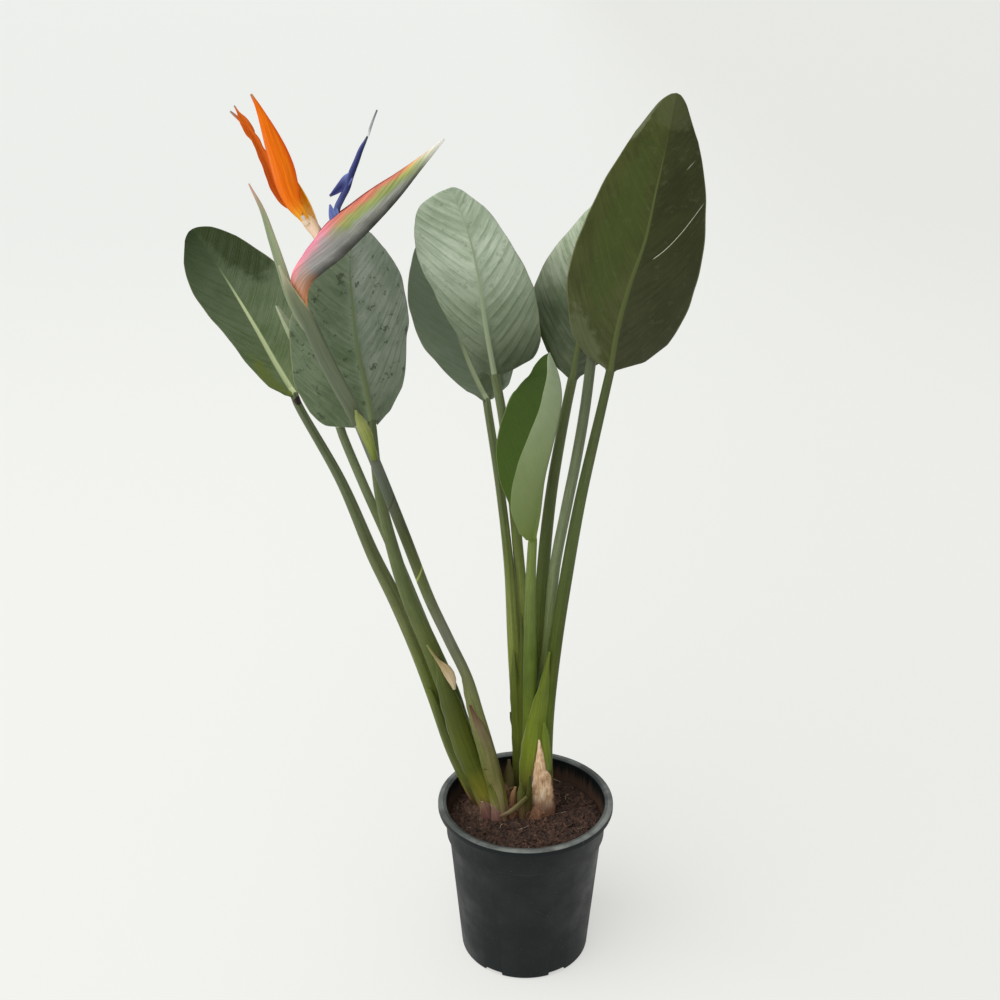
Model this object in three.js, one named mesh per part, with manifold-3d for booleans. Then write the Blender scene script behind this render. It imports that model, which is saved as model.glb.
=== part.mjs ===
// A potted bird of paradise (Strelitzia reginae) in a plastic nursery pot. Millimetres, +Z up.
// The origin is the centre of the pot's flat underside, +X runs to the plant's right and +Y to its back.
// The plant is two fans of leaves. One leans left and carries the open flower, the other stands upright.

import * as THREE from 'three';
import { mergeVertices } from 'three/addons/utils/BufferGeometryUtils.js';
import Module from 'manifold-3d';

// Pot
const POT_HEIGHT = 206;
const RIM_RADIUS = 105;
const RIM_BAND = 8;
const COLLAR_TOP_RADIUS = 96.5;
const COLLAR_HEIGHT = 34;
const COLLAR_STEP = 3;
const BASE_RADIUS = 78;
const BASE_CORNER = 4;
const POT_WALL = 1.8;
const POT_SIDES = 48;
const DRAIN_SLOTS = 6;
const DRAIN_SLOT_WIDTH = 24;
const DRAIN_SLOT_HEIGHT = 6;
const DRAIN_SLOT_DEPTH = 14;

// Soil and the rootstock that stands in it
const SOIL_LEVEL = 178;
const SOIL_LUMP = 1.6;
const STEM_FOOT = 166;
const ROOTSTOCK_DEPTH = 26;
const ROOTSTOCK_LOBES = [
  { at: [-42, 24], half: [33, 31], rise: 5 },
  { at: [12, 41], half: [33, 35], rise: 6 },
];

// What lies against something else keeps this gap, and a plain hole is this much larger than its stalk
const GAP = 0.35;
const HOLE = 1.1;

// Fractions of a blade's length, from its base, at which its half widths are given
const WIDTH_STATIONS = [0.03, 0.1, 0.25, 0.4, 0.55, 0.7, 0.85, 0.95];
// Where a cross-section's points lie between its middle (0) and its edges (1), on a stalk and on a blade
const FINE = {
  round: [-1, -0.92, -0.71, -0.38, 0, 0.38, 0.71, 0.92, 1],
  flat: [-1, -0.76, -0.44, -0.07, 0, 0.07, 0.44, 0.76, 1],
};
const PLAIN = {
  round: [-1, -0.71, 0, 0.71, 1],
  flat: [-1, -0.5, 0, 0.5, 1],
};
// Fractions of a blade's length at which its rings lie
const BLADE_RINGS = [0.02, 0.06, 0.12, 0.2, 0.29, 0.38, 0.48, 0.58, 0.68, 0.78, 0.87, 0.94, 0.98, 1];
const STALK_STEPS = 8;
const SHEATH_STEPS = 6;
const HALF_BLADE = 0.45;
const NECK_LENGTH = 3;

// Each leaf is one piece: `stalk` is the route of its centreline from the rootstock, `radii` half its depth at
// even steps, and `sheath` half its width, more where it sheathes the next stalk. `midrib` is the blade's
// centreline from base to tip, `facing` the way its upper side faces, `left` and `right` its half widths seen
// on that side. `fold` is the angle in degrees by which each half rises at the midrib, `curl` how much more it
// rises by the edge, `lobe` how far the base hangs below the neck, and `waves` the count and height of the
// waves along its edge.
const LEAVES = {
  leaf_far_left: {
    stalk: [
      [-53, 31, STEM_FOOT], [-86, 31, 255], [-106, 31, 325], [-127, 32, 392], [-151, 34, 456], [-174.5, 38, 509],
      [-209, 46, 599], [-255, 60, 686],
    ],
    radii: [7.4, 6.2, 4.4],
    sheath: [7.4, 10.2, 10, 9.2, 7.4, 5.4, 4.4],
    midrib: [
      [-260, 62, 699], [-278, 68, 730], [-299, 77, 768], [-321, 88, 804], [-342, 98, 836],
      [-366, 108, 870],
    ],
    facing: [0.49, -0.71, 0.5],
    left: [14, 28, 39, 45, 53, 54, 42, 22],
    right: [14, 28, 46, 56, 59, 51, 36, 20],
    fold: 14, curl: 12, lobe: 6, waves: [3, 1.5], rib: 3,
    colour: 0x3f5a34,
  },
  leaf_left: {
    stalk: [
      [-41, 14, STEM_FOOT], [-54, 14, 209], [-70, 15, 264], [-87, 15, 333], [-109.5, 13, 401], [-133, 9, 468],
      [-146.5, 5, 519], [-162, 2, 600], [-168, 3, 680],
    ],
    radii: [8.6, 6.4, 4.6],
    sheath: [8.6, 11.4, 12, 9.6, 7.6, 5.6, 4.6],
    midrib: [
      [-169, 3, 690], [-173, -2, 728], [-179, -6, 765], [-182, -10, 811], [-183, -14, 854],
      [-178, -20, 898],
    ],
    facing: [-0.42, 0.91, 0.08],
    left: [28, 48, 63, 72, 73, 66, 48, 27],
    right: [48, 64, 72, 70, 65, 52, 32, 14],
    fold: 12, curl: 16, lobe: 13, waves: [4, 1.8], rib: 4,
    colour: 0x74866f,
  },
  leaf_left_young: {
    stalk: [
      [-39, 48, STEM_FOOT], [-80, 46, 300], [-114, 43, 400], [-150, 38, 510], [-183, 34, 600],
      [-204, 34, 660],
    ],
    radii: [6.6, 5.6, 4.6],
    sheath: [6.6, 7.6, 7.4, 6, 5, 4.6],
    midrib: [[-207, 34, 670], [-221, 36, 701], [-238, 38, 738], [-255, 40, 773], [-269, 42, 802]],
    facing: [-0.1, 1, -0.05],
    left: [8, 13, 20, 22, 20, 16, 10, 5],
    right: [8, 13, 20, 22, 20, 16, 10, 5],
    fold: 42, curl: 40, lobe: 0, waves: [2, 0.3], rib: 2.5,
    colour: 0x8fa07a,
  },
  leaf_middle_back: {
    stalk: [
      [-2, 44, STEM_FOOT], [-9, 42, 300], [-15, 43, 400], [-21, 47, 500], [-31, 55, 590], [-44, 67, 676],
    ],
    radii: [7.5, 5.6, 4.2],
    sheath: [7.5, 8.2, 7.6, 5.6, 4.8, 4.2],
    midrib: [
      [-47, 72, 689], [-62, 80, 719], [-75, 88, 751], [-90, 98, 790], [-103, 108, 823], [-115, 118, 856],
    ],
    facing: [0.4, -0.8, 0.4],
    left: [8, 20, 38, 50, 54, 48, 33, 18],
    right: [30, 46, 58, 60, 57, 50, 38, 22],
    fold: 10, curl: 10, lobe: 6, waves: [4, 1.6], rib: 3,
    colour: 0x5d7257,
  },
  leaf_middle: {
    stalk: [[8, 62, STEM_FOOT], [3, 59, 300], [-2, 56, 400], [-9, 52, 500], [-17, 42, 590], [-29, 29, 690]],
    radii: [7, 5.6, 4.6],
    sheath: [7, 8, 7.8, 6, 5.2, 4.6],
    midrib: [
      [-37, 26, 734], [-43, 18, 771], [-48, 10, 806], [-52, 2, 840], [-58, -4, 872], [-65, -9, 899],
      [-80, -16, 937],
    ],
    facing: [-0.01, 0.98, 0.2],
    left: [44, 56, 60, 57, 48, 36, 24, 12],
    right: [13, 24, 38, 51, 60, 63, 56, 40],
    fold: 10, curl: 16, lobe: 8, waves: [4, 1.8], rib: 4,
    colour: 0x7c9179,
  },
  leaf_right_back: {
    stalk: [[29, 57, STEM_FOOT], [22, 56, 300], [17, 51, 400], [20, 48, 500], [28, 48, 590], [42, 48, 683]],
    radii: [7.5, 6, 5],
    sheath: [7.5, 8, 8, 7.2, 6, 5],
    midrib: [[49, 48, 722], [54, 46, 758], [60, 45, 802], [68, 44, 849], [76, 43, 889], [85, 42, 923]],
    facing: [0.24, 0.97, 0.01],
    left: [11, 28, 47, 53, 52, 46, 33, 18],
    right: [22, 38, 62, 66, 57, 42, 24, 11],
    fold: 12, curl: 16, lobe: 5, waves: [4, 2.2], rib: 4,
    colour: 0x7b8e77,
  },
  leaf_folded: {
    stalk: [[5, 24, STEM_FOOT], [5, 22, 300], [4, 17, 413], [4, 12, 492], [5, 9, 529]],
    radii: [8.6, 8.6, 5],
    sheath: [7, 6.6, 6.2, 5],
    midrib: [
      [6, 8.5, 543], [11, 5, 575], [16, 2, 620], [24, -1, 658], [30.5, -4, 690], [33.5, -5.5, 716],
      [30, -5.5, 741], [21, -4, 764],
    ],
    facing: [-0.96, -0.28, 0.05],
    left: [12, 27, 48, 60, 62, 57, 46, 26],
    right: [16, 36, 58, 66, 64, 52, 34, 14],
    fold: 38, curl: 24, lobe: 0, waves: [2, 0.6], rib: 3,
    colour: 0x5c7d3c,
  },
  leaf_right_tall: {
    stalk: [[24, 22, STEM_FOOT], [25, 20, 300], [33, 18, 400], [45, 15, 500], [58, 11, 591], [77, 5, 695]],
    radii: [8.6, 6.4, 4.4],
    sheath: [8.6, 8, 7.4, 6.8, 5.6, 4.4],
    midrib: [
      [86, 2, 745], [91, -6, 789], [101, -16, 839], [114, -25, 887], [122, -33, 938], [130, -40, 987],
      [136, -46, 1031],
    ],
    facing: [0.09, 0.98, 0.15],
    left: [36, 58, 71, 69, 61, 50, 32, 15],
    right: [28, 48, 63, 67, 62, 50, 33, 17],
    fold: 8, curl: 16, lobe: 3, waves: [4, 1.8], rib: 4.5,
    colour: 0x53613c,
  },
};

// Flower stalks: routes from the rootstock, and radii at even steps that swell where a sheath ends
const FLOWER_STALK = {
  route: [
    [-23.5, 4, STEM_FOOT], [-45.5, 4, 266], [-54.7, 3, 313], [-67.5, -1, 370], [-88.5, -6, 425], [-109, -12, 479],
    [-133.5, -25, 562], [-161.8, -38, 654],
    [-184, -49, 722], [-197, -54, 750], [-210, -58, 783], [-219, -60.5, 809], [-222.6, -62, 828],
  ],
  radii: [8.2, 7, 5.8, 5.4, 5.6, 5.8, 5.5, 5.3, 5.1],
  sheath: [8.2, 10.6, 6.4, 5.8, 5.8, 5.8, 5.5, 5.3, 5.1],
  colour: 0x6c7a5b,
};
const BUD_STALK = {
  route: [
    [17, 42, STEM_FOOT], [17, 38, 300], [25, 32, 400], [32, 30, 500], [43, 26, 572], [53, 22, 634], [61, 20, 693],
    [67, 20, 754],
  ],
  radii: [7, 6.2, 6, 6, 5.8, 5.6, 5.2],
  colour: 0x6f7d62,
};
const BUD_SPATHE = {
  route: [[67.1, 20, 754.5], [69, 20, 772], [75, 20, 815], [84, 19, 866], [93, 18, 903]],
  radii: [5.2, 7.4, 6.6, 4, 0.8],
  colour: 0x77845c,
};

// Bracts and petals, each from its foot to its tip, with half widths at even steps along it
const SPATHE = {
  route: [
    [-221.9, -62, 831.5], [-220.6, -62.5, 842.7], [-216.1, -63, 853.4], [-204.7, -63.7, 863.5], [-186, -64.5, 878],
    [-166, -66, 897], [-146, -67, 917], [-126, -68.5, 939], [-106, -70, 964], [-83, -72, 992],
  ],
  facing: [-0.763, 0, 0.645],
  half: [5.2, 18.5, 26, 31.5, 35.5, 35.5, 32.5, 29.3, 24.5, 18, 11.5, 6, 1.8],
  fold: 42, curl: 76, thick: 1.4, solidFoot: 0.03, across: FINE,
  colour: 0xb08a82,
};
const BRACT_LONG = {
  route: [
    [-219.8, -49, 789.7], [-230.5, -47.8, 810], [-239, -51, 833], [-244, -51, 853], [-251, -51, 875],
    [-258, -51, 895], [-264, -50, 916], [-273, -49, 947],
  ],
  facing: [0.75, -0.3, 0.3],
  half: [4.4, 8, 9.6, 9, 7, 4.5, 1],
  fold: 16, curl: 50, thick: 1.6,
  colour: 0x8a9a74,
};
const BRACT_SHORT = {
  route: [
    [-178.8, -52.6, 701], [-183.5, -54.8, 714], [-194.9, -59.5, 740], [-206.2, -63.2, 766.6],
    [-216.1, -66, 792.7], [-222.7, -68.3, 812], [-230, -71, 830], [-238, -71.5, 850], [-245.5, -69, 872],
  ],
  facing: [0.3, 0.95, 0.1],
  half: [15.2, 15.2, 15.2, 15.2, 14.4, 11, 6, 1],
  fold: 0, curl: [119, 119, 119, 119, 112, 76, 50, 40], thick: 1.2, across: FINE,
  colour: 0x7f8f6d,
};
const PEDICEL = {
  route: [
    [-200.6, -64.5, 873.6], [-203, -64.5, 888], [-207.5, -64.8, 902.5], [-212.8, -65.2, 910.4],
    [-218.2, -65.7, 917.2], [-222.3, -66, 920.8],
  ],
  radii: [2.2, 3, 3.6, 4.6, 5.6, 6.8],
  colour: 0xe3c49a,
};
const SEPAL_FRONT = {
  route: [
    [-222.7, -69.2, 921.9], [-230.1, -71, 931.6], [-235.6, -72.5, 947.1], [-239.3, -73, 964],
    [-244.7, -72.5, 984.3], [-251.7, -71.5, 1007.9], [-257.4, -70, 1024], [-261.6, -69, 1032.9],
  ],
  facing: [0.25, 0.95, 0],
  half: [3, 10.5, 15, 15, 12.8, 9, 4.6, 1],
  fold: 22, curl: 22, thick: 1.2,
  colour: 0xf07a12,
};
const SEPAL_SIDE = {
  route: [
    [-223, -61.5, 921.8], [-238.9, -56, 930.7], [-248.5, -51, 944.1], [-254.6, -48, 961.7],
    [-260.5, -47, 976.6], [-265.9, -46.5, 989.7], [-272.3, -46, 1000.8], [-279.2, -46, 1010.5],
    [-285.2, -46, 1020.2],
  ],
  facing: [0.6, -0.75, 0.2],
  half: [2.4, 5.6, 7, 7, 7, 6.2, 5.6, 4.8, 1.2],
  fold: 14, curl: 30, thick: 1.2,
  colour: 0xe0621a,
};
const SEPAL_BACK = {
  route: [
    [-215.9, -58.5, 922], [-217.3, -56.5, 928.4], [-220.6, -54, 935.1], [-224.4, -52, 941.9],
    [-229.5, -50, 949.7], [-235.4, -49, 958.1],
  ],
  facing: [-0.2, -0.95, 0.1],
  half: [2.8, 4, 5, 6, 5, 1],
  fold: 14, curl: 30, thick: 1.2,
  colour: 0xf0a51c,
};
const PETAL_ARROW = {
  route: [
    [-180, -65.5, 893], [-184.5, -66, 908], [-185.1, -66.6, 924.2], [-180, -67, 935.2], [-174.4, -67.4, 945.2],
    [-170.3, -67.8, 957], [-164.3, -68.2, 971.6], [-160.7, -68.5, 981.2], [-154.8, -69, 994.4],
  ],
  facing: [-0.94, -0.1, -0.35],
  half: [2, 2.4, 3, 3.4, 4.2, 4.6, 4.2, 3.6, 1.2],
  fold: 56, curl: 10, thick: 1.4,
  colour: 0x2c3a8c,
};
// The arrow petal's two lobes, which leave its margins and point back to its foot
const ARROW_LOBES = [
  {
    route: [
      [-170.9, -68.2, 961.3], [-175.3, -69.6, 955], [-181.7, -70.6, 948.1], [-187.1, -71.1, 943.5],
      [-192.6, -71.5, 939.3],
    ],
    facing: [0, 1, 0],
    half: [2, 4.8, 4.6, 3.2, 1.2],
    fold: 0, curl: 14, thick: 1.2,
  },
  {
    route: [
      [-171.2, -65.8, 960.9], [-175.9, -64.4, 954.1], [-182.5, -63.4, 946.8], [-188, -62.9, 942],
      [-193.7, -62.5, 937.6],
    ],
    facing: [0, -1, 0],
    half: [2, 4.8, 4.6, 3.2, 1.2],
    fold: 0, curl: 14, thick: 1.2,
  },
];
const PETAL_NECTARY = {
  route: [[-188.5, -70, 907], [-191.5, -70, 920], [-193, -70, 931]],
  facing: [0.3, 0.95, 0.1],
  half: [2, 4.4, 4.8, 3.6, 1],
  fold: 10, curl: 30, thick: 1.2,
  colour: 0x4a63b0,
};
const STIGMA = {
  route: [[-154.5, -69, 995.1], [-150.3, -69, 1006.7], [-145.2, -69, 1018.5]],
  radii: [1, 0.9, 0.5],
  colour: 0xd9dbe0,
};

// Dry and old sheaths round the feet of the fans
const OLD_SHEATHS = {
  dry_sheath_front: {
    route: [[17.5, 4.5, 172], [18, 5, 205], [18.5, 5.5, 234], [17, 7, 265], [15.7, 9, 284]],
    facing: [0, 1, 0],
    half: [9, 12.5, 14, 14, 11, 6, 1.4], fold: 6, curl: 44, colour: 0xc09468,
  },
  old_sheath_middle: {
    route: [[-15, 27, 172], [-18, 26, 205], [-20, 25, 238]],
    facing: [1, 0.2, 0],
    half: [7, 9, 8, 5, 1], fold: 6, curl: 60, colour: 0x7a5338,
  },
  old_sheath_left: {
    route: [[-43, -2, 172], [-46, -3, 188], [-50, -4, 204]],
    facing: [0.1, 1, 0.2],
    half: [7, 9, 8, 5, 1], fold: 6, curl: 54, colour: 0x8a4a3c,
  },
  old_sheath_low: {
    route: [[-13, 9.5, 172], [-11.5, 8.8, 184], [-9, 8, 199]],
    facing: [0.3, 0.95, 0.1],
    half: [6, 8, 7, 4, 1], fold: 6, curl: 50, colour: 0x6b4127,
  },
};

const DEGREE = Math.PI / 180;
const wasm = await Module();
wasm.setup();

function toSolid(geometry) {
  const bare = new THREE.BufferGeometry();
  bare.setAttribute('position', geometry.getAttribute('position'));
  bare.setIndex(geometry.getIndex());
  const merged = mergeVertices(bare, 1e-4);
  return new wasm.Manifold(new wasm.Mesh({
    numProp: 3,
    vertProperties: new Float32Array(merged.getAttribute('position').array),
    triVerts: new Uint32Array(merged.getIndex().array),
  }));
}

function toGeometry(solid) {
  const mesh = solid.getMesh();
  const geometry = new THREE.BufferGeometry();
  geometry.setAttribute('position', new THREE.BufferAttribute(mesh.vertProperties, 3));
  geometry.setIndex(new THREE.BufferAttribute(mesh.triVerts, 1));
  return geometry;
}

// Drops the loose scraps that cutting leaves
function largestBody(solid) {
  return solid.decompose().reduce((best, body) => (body.volume() > best.volume() ? body : best));
}

function subPart(name, geometry, colour, roughness) {
  const material = new THREE.MeshStandardMaterial({ color: colour, roughness, metalness: 0 });
  const mesh = new THREE.Mesh(geometry, material);
  mesh.name = name;
  return mesh;
}

function routeCurve(points) {
  return new THREE.CatmullRomCurve3(points.map((point) => new THREE.Vector3(...point)), false, 'centripetal');
}

// A smooth value between evenly or unevenly spaced stations
function valueAt(stations, values, where) {
  let i = 0;
  while (i < stations.length - 2 && where > stations[i + 1]) i += 1;
  const t = THREE.MathUtils.clamp((where - stations[i]) / (stations[i + 1] - stations[i]), 0, 1);
  const before = values[Math.max(i - 1, 0)];
  const after = values[Math.min(i + 2, values.length - 1)];
  const slopeIn = (values[i + 1] - before) / 2;
  const slopeOut = (after - values[i]) / 2;
  const t2 = t * t;
  const t3 = t2 * t;
  return (2 * t3 - 3 * t2 + 1) * values[i] + (t3 - 2 * t2 + t) * slopeIn
    + (3 * t2 - 2 * t3) * values[i + 1] + (t3 - t2) * slopeOut;
}

function evenSteps(count) {
  return Array.from({ length: count }, (unused, i) => i / (count - 1));
}

// A value that is the same all along a piece, or is given at even steps along it
function stepValue(values, where) {
  return Array.isArray(values) ? valueAt(evenSteps(values.length), values, where) : values;
}

// The directions of a ring: along the route, out to the right, and to the upper side
function frameAt(tangent, facing) {
  const along = tangent.clone().normalize();
  const up = facing.clone().addScaledVector(along, -facing.dot(along)).normalize();
  const side = new THREE.Vector3().crossVectors(along, up);
  return { along, up, side };
}

// One ring of points round a cross-section. `flat` runs from 0, a round stalk, to 1, a thin blade with a rib
// under it. The points go across the upper side from left to right, and back under it.
function ring(centre, frame, shape) {
  const { left, right, depth, flat, rib, edge, fold, curl, across } = shape;
  const { lobe = 0, wave = () => 0, grow = 0 } = shape;
  const middle = (across.flat.length - 1) / 2;
  const place = (i, under) => {
    const t = THREE.MathUtils.lerp(across.round[i], across.flat[i], flat);
    const away = Math.abs(t);
    const sign = Math.sign(t);
    const half = (t < 0 ? left : right) + grow;
    const start = fold * DEGREE;
    const turn = Math.max(curl * DEGREE, 1e-4);
    const angle = start + turn * away;
    const out = half * (Math.sin(angle) - Math.sin(start)) / turn;
    const rise = half * (Math.cos(start) - Math.cos(angle)) / turn;
    const lean = t === 0 ? 0 : angle;
    const round = depth * Math.sqrt(Math.max(0, 1 - across.round[i] ** 2));
    const ribHere = i === middle ? rib : 0;
    const thick = edge + grow + THREE.MathUtils.lerp(round, under ? ribHere : 0, flat);
    const offset = under ? -thick : thick;
    return centre.clone()
      .addScaledVector(frame.side, sign * out - Math.sin(lean) * sign * offset)
      .addScaledVector(frame.up, rise + Math.cos(lean) * offset + wave(t))
      .addScaledVector(frame.along, -lobe * away ** 1.5);
  };
  const top = across.flat.map((unused, i) => place(i, false));
  const bottom = across.flat.map((unused, i) => place(i, true)).reverse();
  return [...top, ...bottom];
}

// A closed skin over rings of equal length. The upper and the under side of a blade are split alike, and
// each end is closed by a strip between them.
function skin(rings) {
  const count = rings[0].length;
  const positions = rings.flat().flatMap((point) => point.toArray());
  const index = [];
  for (let r = 0; r < rings.length - 1; r += 1) {
    for (let i = 0; i < count; i += 1) {
      const a = r * count + i;
      const b = r * count + ((i + 1) % count);
      const c = a + count;
      const d = b + count;
      const under = i >= count / 2;
      if (under) index.push(a, b, c, b, d, c);
      else index.push(a, b, d, a, d, c);
    }
  }
  const last = (rings.length - 1) * count;
  for (let a = 0; a < count / 2 - 1; a += 1) {
    const b = a + 1;
    const d = count - 1 - a;
    const c = d - 1;
    index.push(a, d, c, a, c, b);
    index.push(last + a, last + b, last + c, last + a, last + c, last + d);
  }
  const geometry = new THREE.BufferGeometry();
  geometry.setAttribute('position', new THREE.Float32BufferAttribute(positions, 3));
  geometry.setIndex(index);
  return geometry;
}

function stalkRings(stalk, steps, across, grow = 0) {
  const { route, radii, sheath = radii, facing = [0, 1, 0] } = stalk;
  const upper = new THREE.Vector3(...facing);
  const curve = routeCurve(route);
  return evenSteps(steps + 1).map((s) => {
    const half = stepValue(sheath, s);
    const size = { left: half, right: half, depth: stepValue(radii, s) };
    const shape = { ...size, flat: 0, rib: 0, edge: 0.3, fold: 0, curl: 0, across, grow };
    return ring(curve.getPointAt(s), frameAt(curve.getTangentAt(s), upper), shape);
  });
}

function leafRings(leaf) {
  const facing = new THREE.Vector3(...leaf.facing);
  const curve = routeCurve(leaf.midrib);
  const neckPoint = curve.getPointAt(0).addScaledVector(curve.getTangentAt(0), -NECK_LENGTH);
  const rings = stalkRings({ ...leaf, route: [...leaf.stalk, neckPoint.toArray()] }, STALK_STEPS, FINE);
  const neck = leaf.radii[leaf.radii.length - 1];
  const stations = [0, ...WIDTH_STATIONS, 1];
  const leftWidths = [neck, ...leaf.left, 1.2];
  const rightWidths = [neck, ...leaf.right, 1.2];
  const [waveCount, waveHeight] = leaf.waves;
  BLADE_RINGS.forEach((s) => {
    const basal = Math.max(0, 1 - s / 0.3) ** 2;
    const shape = {
      left: valueAt(stations, leftWidths, s),
      right: valueAt(stations, rightWidths, s),
      depth: neck,
      flat: 1,
      rib: leaf.rib * (1 - s) ** 0.8 + 0.3,
      edge: HALF_BLADE,
      fold: leaf.fold,
      curl: leaf.curl,
      lobe: leaf.lobe * basal,
      across: FINE,
      wave: (t) => {
        const phase = 2 * Math.PI * waveCount * s + (t < 0 ? 0 : 2);
        return waveHeight * Math.abs(t) ** 3 * (1 - s) * Math.sin(phase);
      },
    };
    rings.push(ring(curve.getPointAt(s), frameAt(curve.getTangentAt(s), facing), shape));
  });
  return rings;
}

// A bract, sheath or petal: a folded blade without a stalk
function petalRings(petal, steps, grow = 0) {
  const facing = new THREE.Vector3(...petal.facing);
  const curve = routeCurve(petal.route);
  const { solidFoot = 0, thick = 1.3, across = PLAIN } = petal;
  return evenSteps(steps + 1).map((s) => {
    const half = Math.max(stepValue(petal.half, s), 0.8);
    const solid = s < solidFoot;
    const shape = {
      left: half,
      right: half,
      depth: half,
      flat: solid ? 0 : 1,
      rib: 0.3,
      edge: Math.min(thick / 2, half * 0.25 + 0.15),
      fold: solid ? 0 : petal.fold,
      curl: solid ? 0 : stepValue(petal.curl, s),
      across,
      grow,
    };
    return ring(curve.getPointAt(s), frameAt(curve.getTangentAt(s), facing), shape);
  });
}

// The pot's profile, up the outside, over the rim and down the inside
function buildPot() {
  const bandBottom = POT_HEIGHT - RIM_BAND;
  const collarBottom = bandBottom - COLLAR_HEIGHT;
  const collarRadius = COLLAR_TOP_RADIUS - 1.5;
  const points = [
    [0, 0], [BASE_RADIUS - BASE_CORNER, 0], [BASE_RADIUS - 1, 1.2], [BASE_RADIUS, BASE_CORNER],
    [collarRadius - COLLAR_STEP, collarBottom - 3], [collarRadius, collarBottom],
    [COLLAR_TOP_RADIUS, bandBottom - 1], [RIM_RADIUS - 1.2, bandBottom], [RIM_RADIUS, bandBottom + 1.2],
    [RIM_RADIUS, POT_HEIGHT - 1.6], [RIM_RADIUS - 1.6, POT_HEIGHT],
    [COLLAR_TOP_RADIUS - POT_WALL + 1, POT_HEIGHT], [COLLAR_TOP_RADIUS - POT_WALL, POT_HEIGHT - 1],
    [collarRadius - POT_WALL, collarBottom], [collarRadius - COLLAR_STEP - POT_WALL, collarBottom - 3],
    [BASE_RADIUS - POT_WALL, BASE_CORNER + 1], [BASE_RADIUS - POT_WALL - 2, POT_WALL + 0.6], [0, POT_WALL + 0.6],
  ];
  const profile = points.map(([radius, height]) => new THREE.Vector2(radius, height));
  const lathe = new THREE.LatheGeometry(profile, POT_SIDES).rotateX(Math.PI / 2);
  let pot = toSolid(lathe);
  for (let i = 0; i < DRAIN_SLOTS; i += 1) {
    const turn = (i + 0.5) * 2 * Math.PI / DRAIN_SLOTS - Math.PI / 2;
    const slot = new THREE.BoxGeometry(DRAIN_SLOT_DEPTH, DRAIN_SLOT_WIDTH, 2 * DRAIN_SLOT_HEIGHT);
    slot.translate(BASE_RADIUS - DRAIN_SLOT_DEPTH / 2 + 2, 0, 0).rotateZ(turn);
    pot = pot.subtract(toSolid(slot));
  }
  return toGeometry(pot);
}

// Gentle lumps, the same every time
function lump(x, y) {
  return Math.sin(x * 0.21 + 1.3) * Math.cos(y * 0.19 - 0.6) + 0.6 * Math.sin(x * 0.43 - y * 0.37);
}

function soilSolid() {
  const floor = POT_WALL + 0.6 + GAP;
  const collarBottom = POT_HEIGHT - RIM_BAND - COLLAR_HEIGHT;
  const inset = POT_WALL + GAP + 0.1;
  const wallRadius = COLLAR_TOP_RADIUS - 1.5 - inset;
  const points = [
    [0, floor], [BASE_RADIUS - 2.6 - inset, floor], [BASE_RADIUS - inset, BASE_CORNER + 2],
    [wallRadius - COLLAR_STEP, collarBottom - 3.5], [wallRadius, collarBottom + 0.5],
    [wallRadius + 0.5, SOIL_LEVEL - 3], [wallRadius - 9, SOIL_LEVEL - 0.5],
    [72, SOIL_LEVEL], [58, SOIL_LEVEL], [42, SOIL_LEVEL], [26, SOIL_LEVEL], [0, SOIL_LEVEL],
  ];
  const profile = points.map(([radius, height]) => new THREE.Vector2(radius, height));
  const geometry = new THREE.LatheGeometry(profile, POT_SIDES).rotateX(Math.PI / 2);
  const position = geometry.getAttribute('position');
  for (let i = 0; i < position.count; i += 1) {
    const x = position.getX(i);
    const y = position.getY(i);
    const z = position.getZ(i);
    if (z > SOIL_LEVEL - 1) position.setZ(i, z + SOIL_LUMP * lump(x, y));
  }
  return toSolid(geometry);
}

function rootstockLobe(lobe, grow) {
  const geometry = new THREE.SphereGeometry(1, 16, 8);
  const position = geometry.getAttribute('position');
  const [halfX, halfY] = lobe.half;
  for (let i = 0; i < position.count; i += 1) {
    const x = position.getX(i) * (halfX + grow);
    const y = position.getY(i) * (halfY + grow);
    const top = position.getZ(i) > 0;
    const z = position.getZ(i) * (top ? lobe.rise + grow : ROOTSTOCK_DEPTH + grow);
    position.setXYZ(i, x + lobe.at[0], y + lobe.at[1], z + SOIL_LEVEL);
  }
  return toSolid(geometry);
}

function rootstockSolid(grow) {
  return rootstockLobe(ROOTSTOCK_LOBES[0], grow).add(rootstockLobe(ROOTSTOCK_LOBES[1], grow));
}

// Everything that stands in the rootstock or the soil, with the clearance that its hole needs
function footCutters() {
  const cutters = [];
  Object.values(LEAVES).forEach((leaf) => {
    cutters.push(skin(stalkRings({ ...leaf, route: leaf.stalk }, STALK_STEPS, PLAIN, HOLE).slice(0, 2)));
  });
  [FLOWER_STALK, BUD_STALK].forEach((stalk) => {
    cutters.push(skin(stalkRings(stalk, STALK_STEPS, PLAIN, HOLE).slice(0, 2)));
  });
  Object.values(OLD_SHEATHS).forEach((sheath) => {
    cutters.push(skin(petalRings(sheath, SHEATH_STEPS, 2 * GAP).slice(0, SHEATH_STEPS / 2 + 1)));
  });
  return cutters.map(toSolid);
}

const plant = new THREE.Group();
plant.name = 'potted_bird_of_paradise';

plant.add(subPart('pot', buildPot(), 0x2c3233, 0.55));

const cutters = footCutters();
let soil = soilSolid().subtract(rootstockSolid(GAP));
let rootstock = rootstockSolid(0);
cutters.forEach((cutter) => {
  soil = soil.subtract(cutter);
  rootstock = rootstock.subtract(cutter);
});
plant.add(subPart('soil', toGeometry(largestBody(soil)), 0x2e211b, 0.95));
plant.add(subPart('rootstock', toGeometry(largestBody(rootstock)), 0x5b4030, 0.9));

Object.entries(LEAVES).forEach(([name, leaf]) => {
  plant.add(subPart(name, skin(leafRings(leaf)), leaf.colour, 0.5));
});

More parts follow.
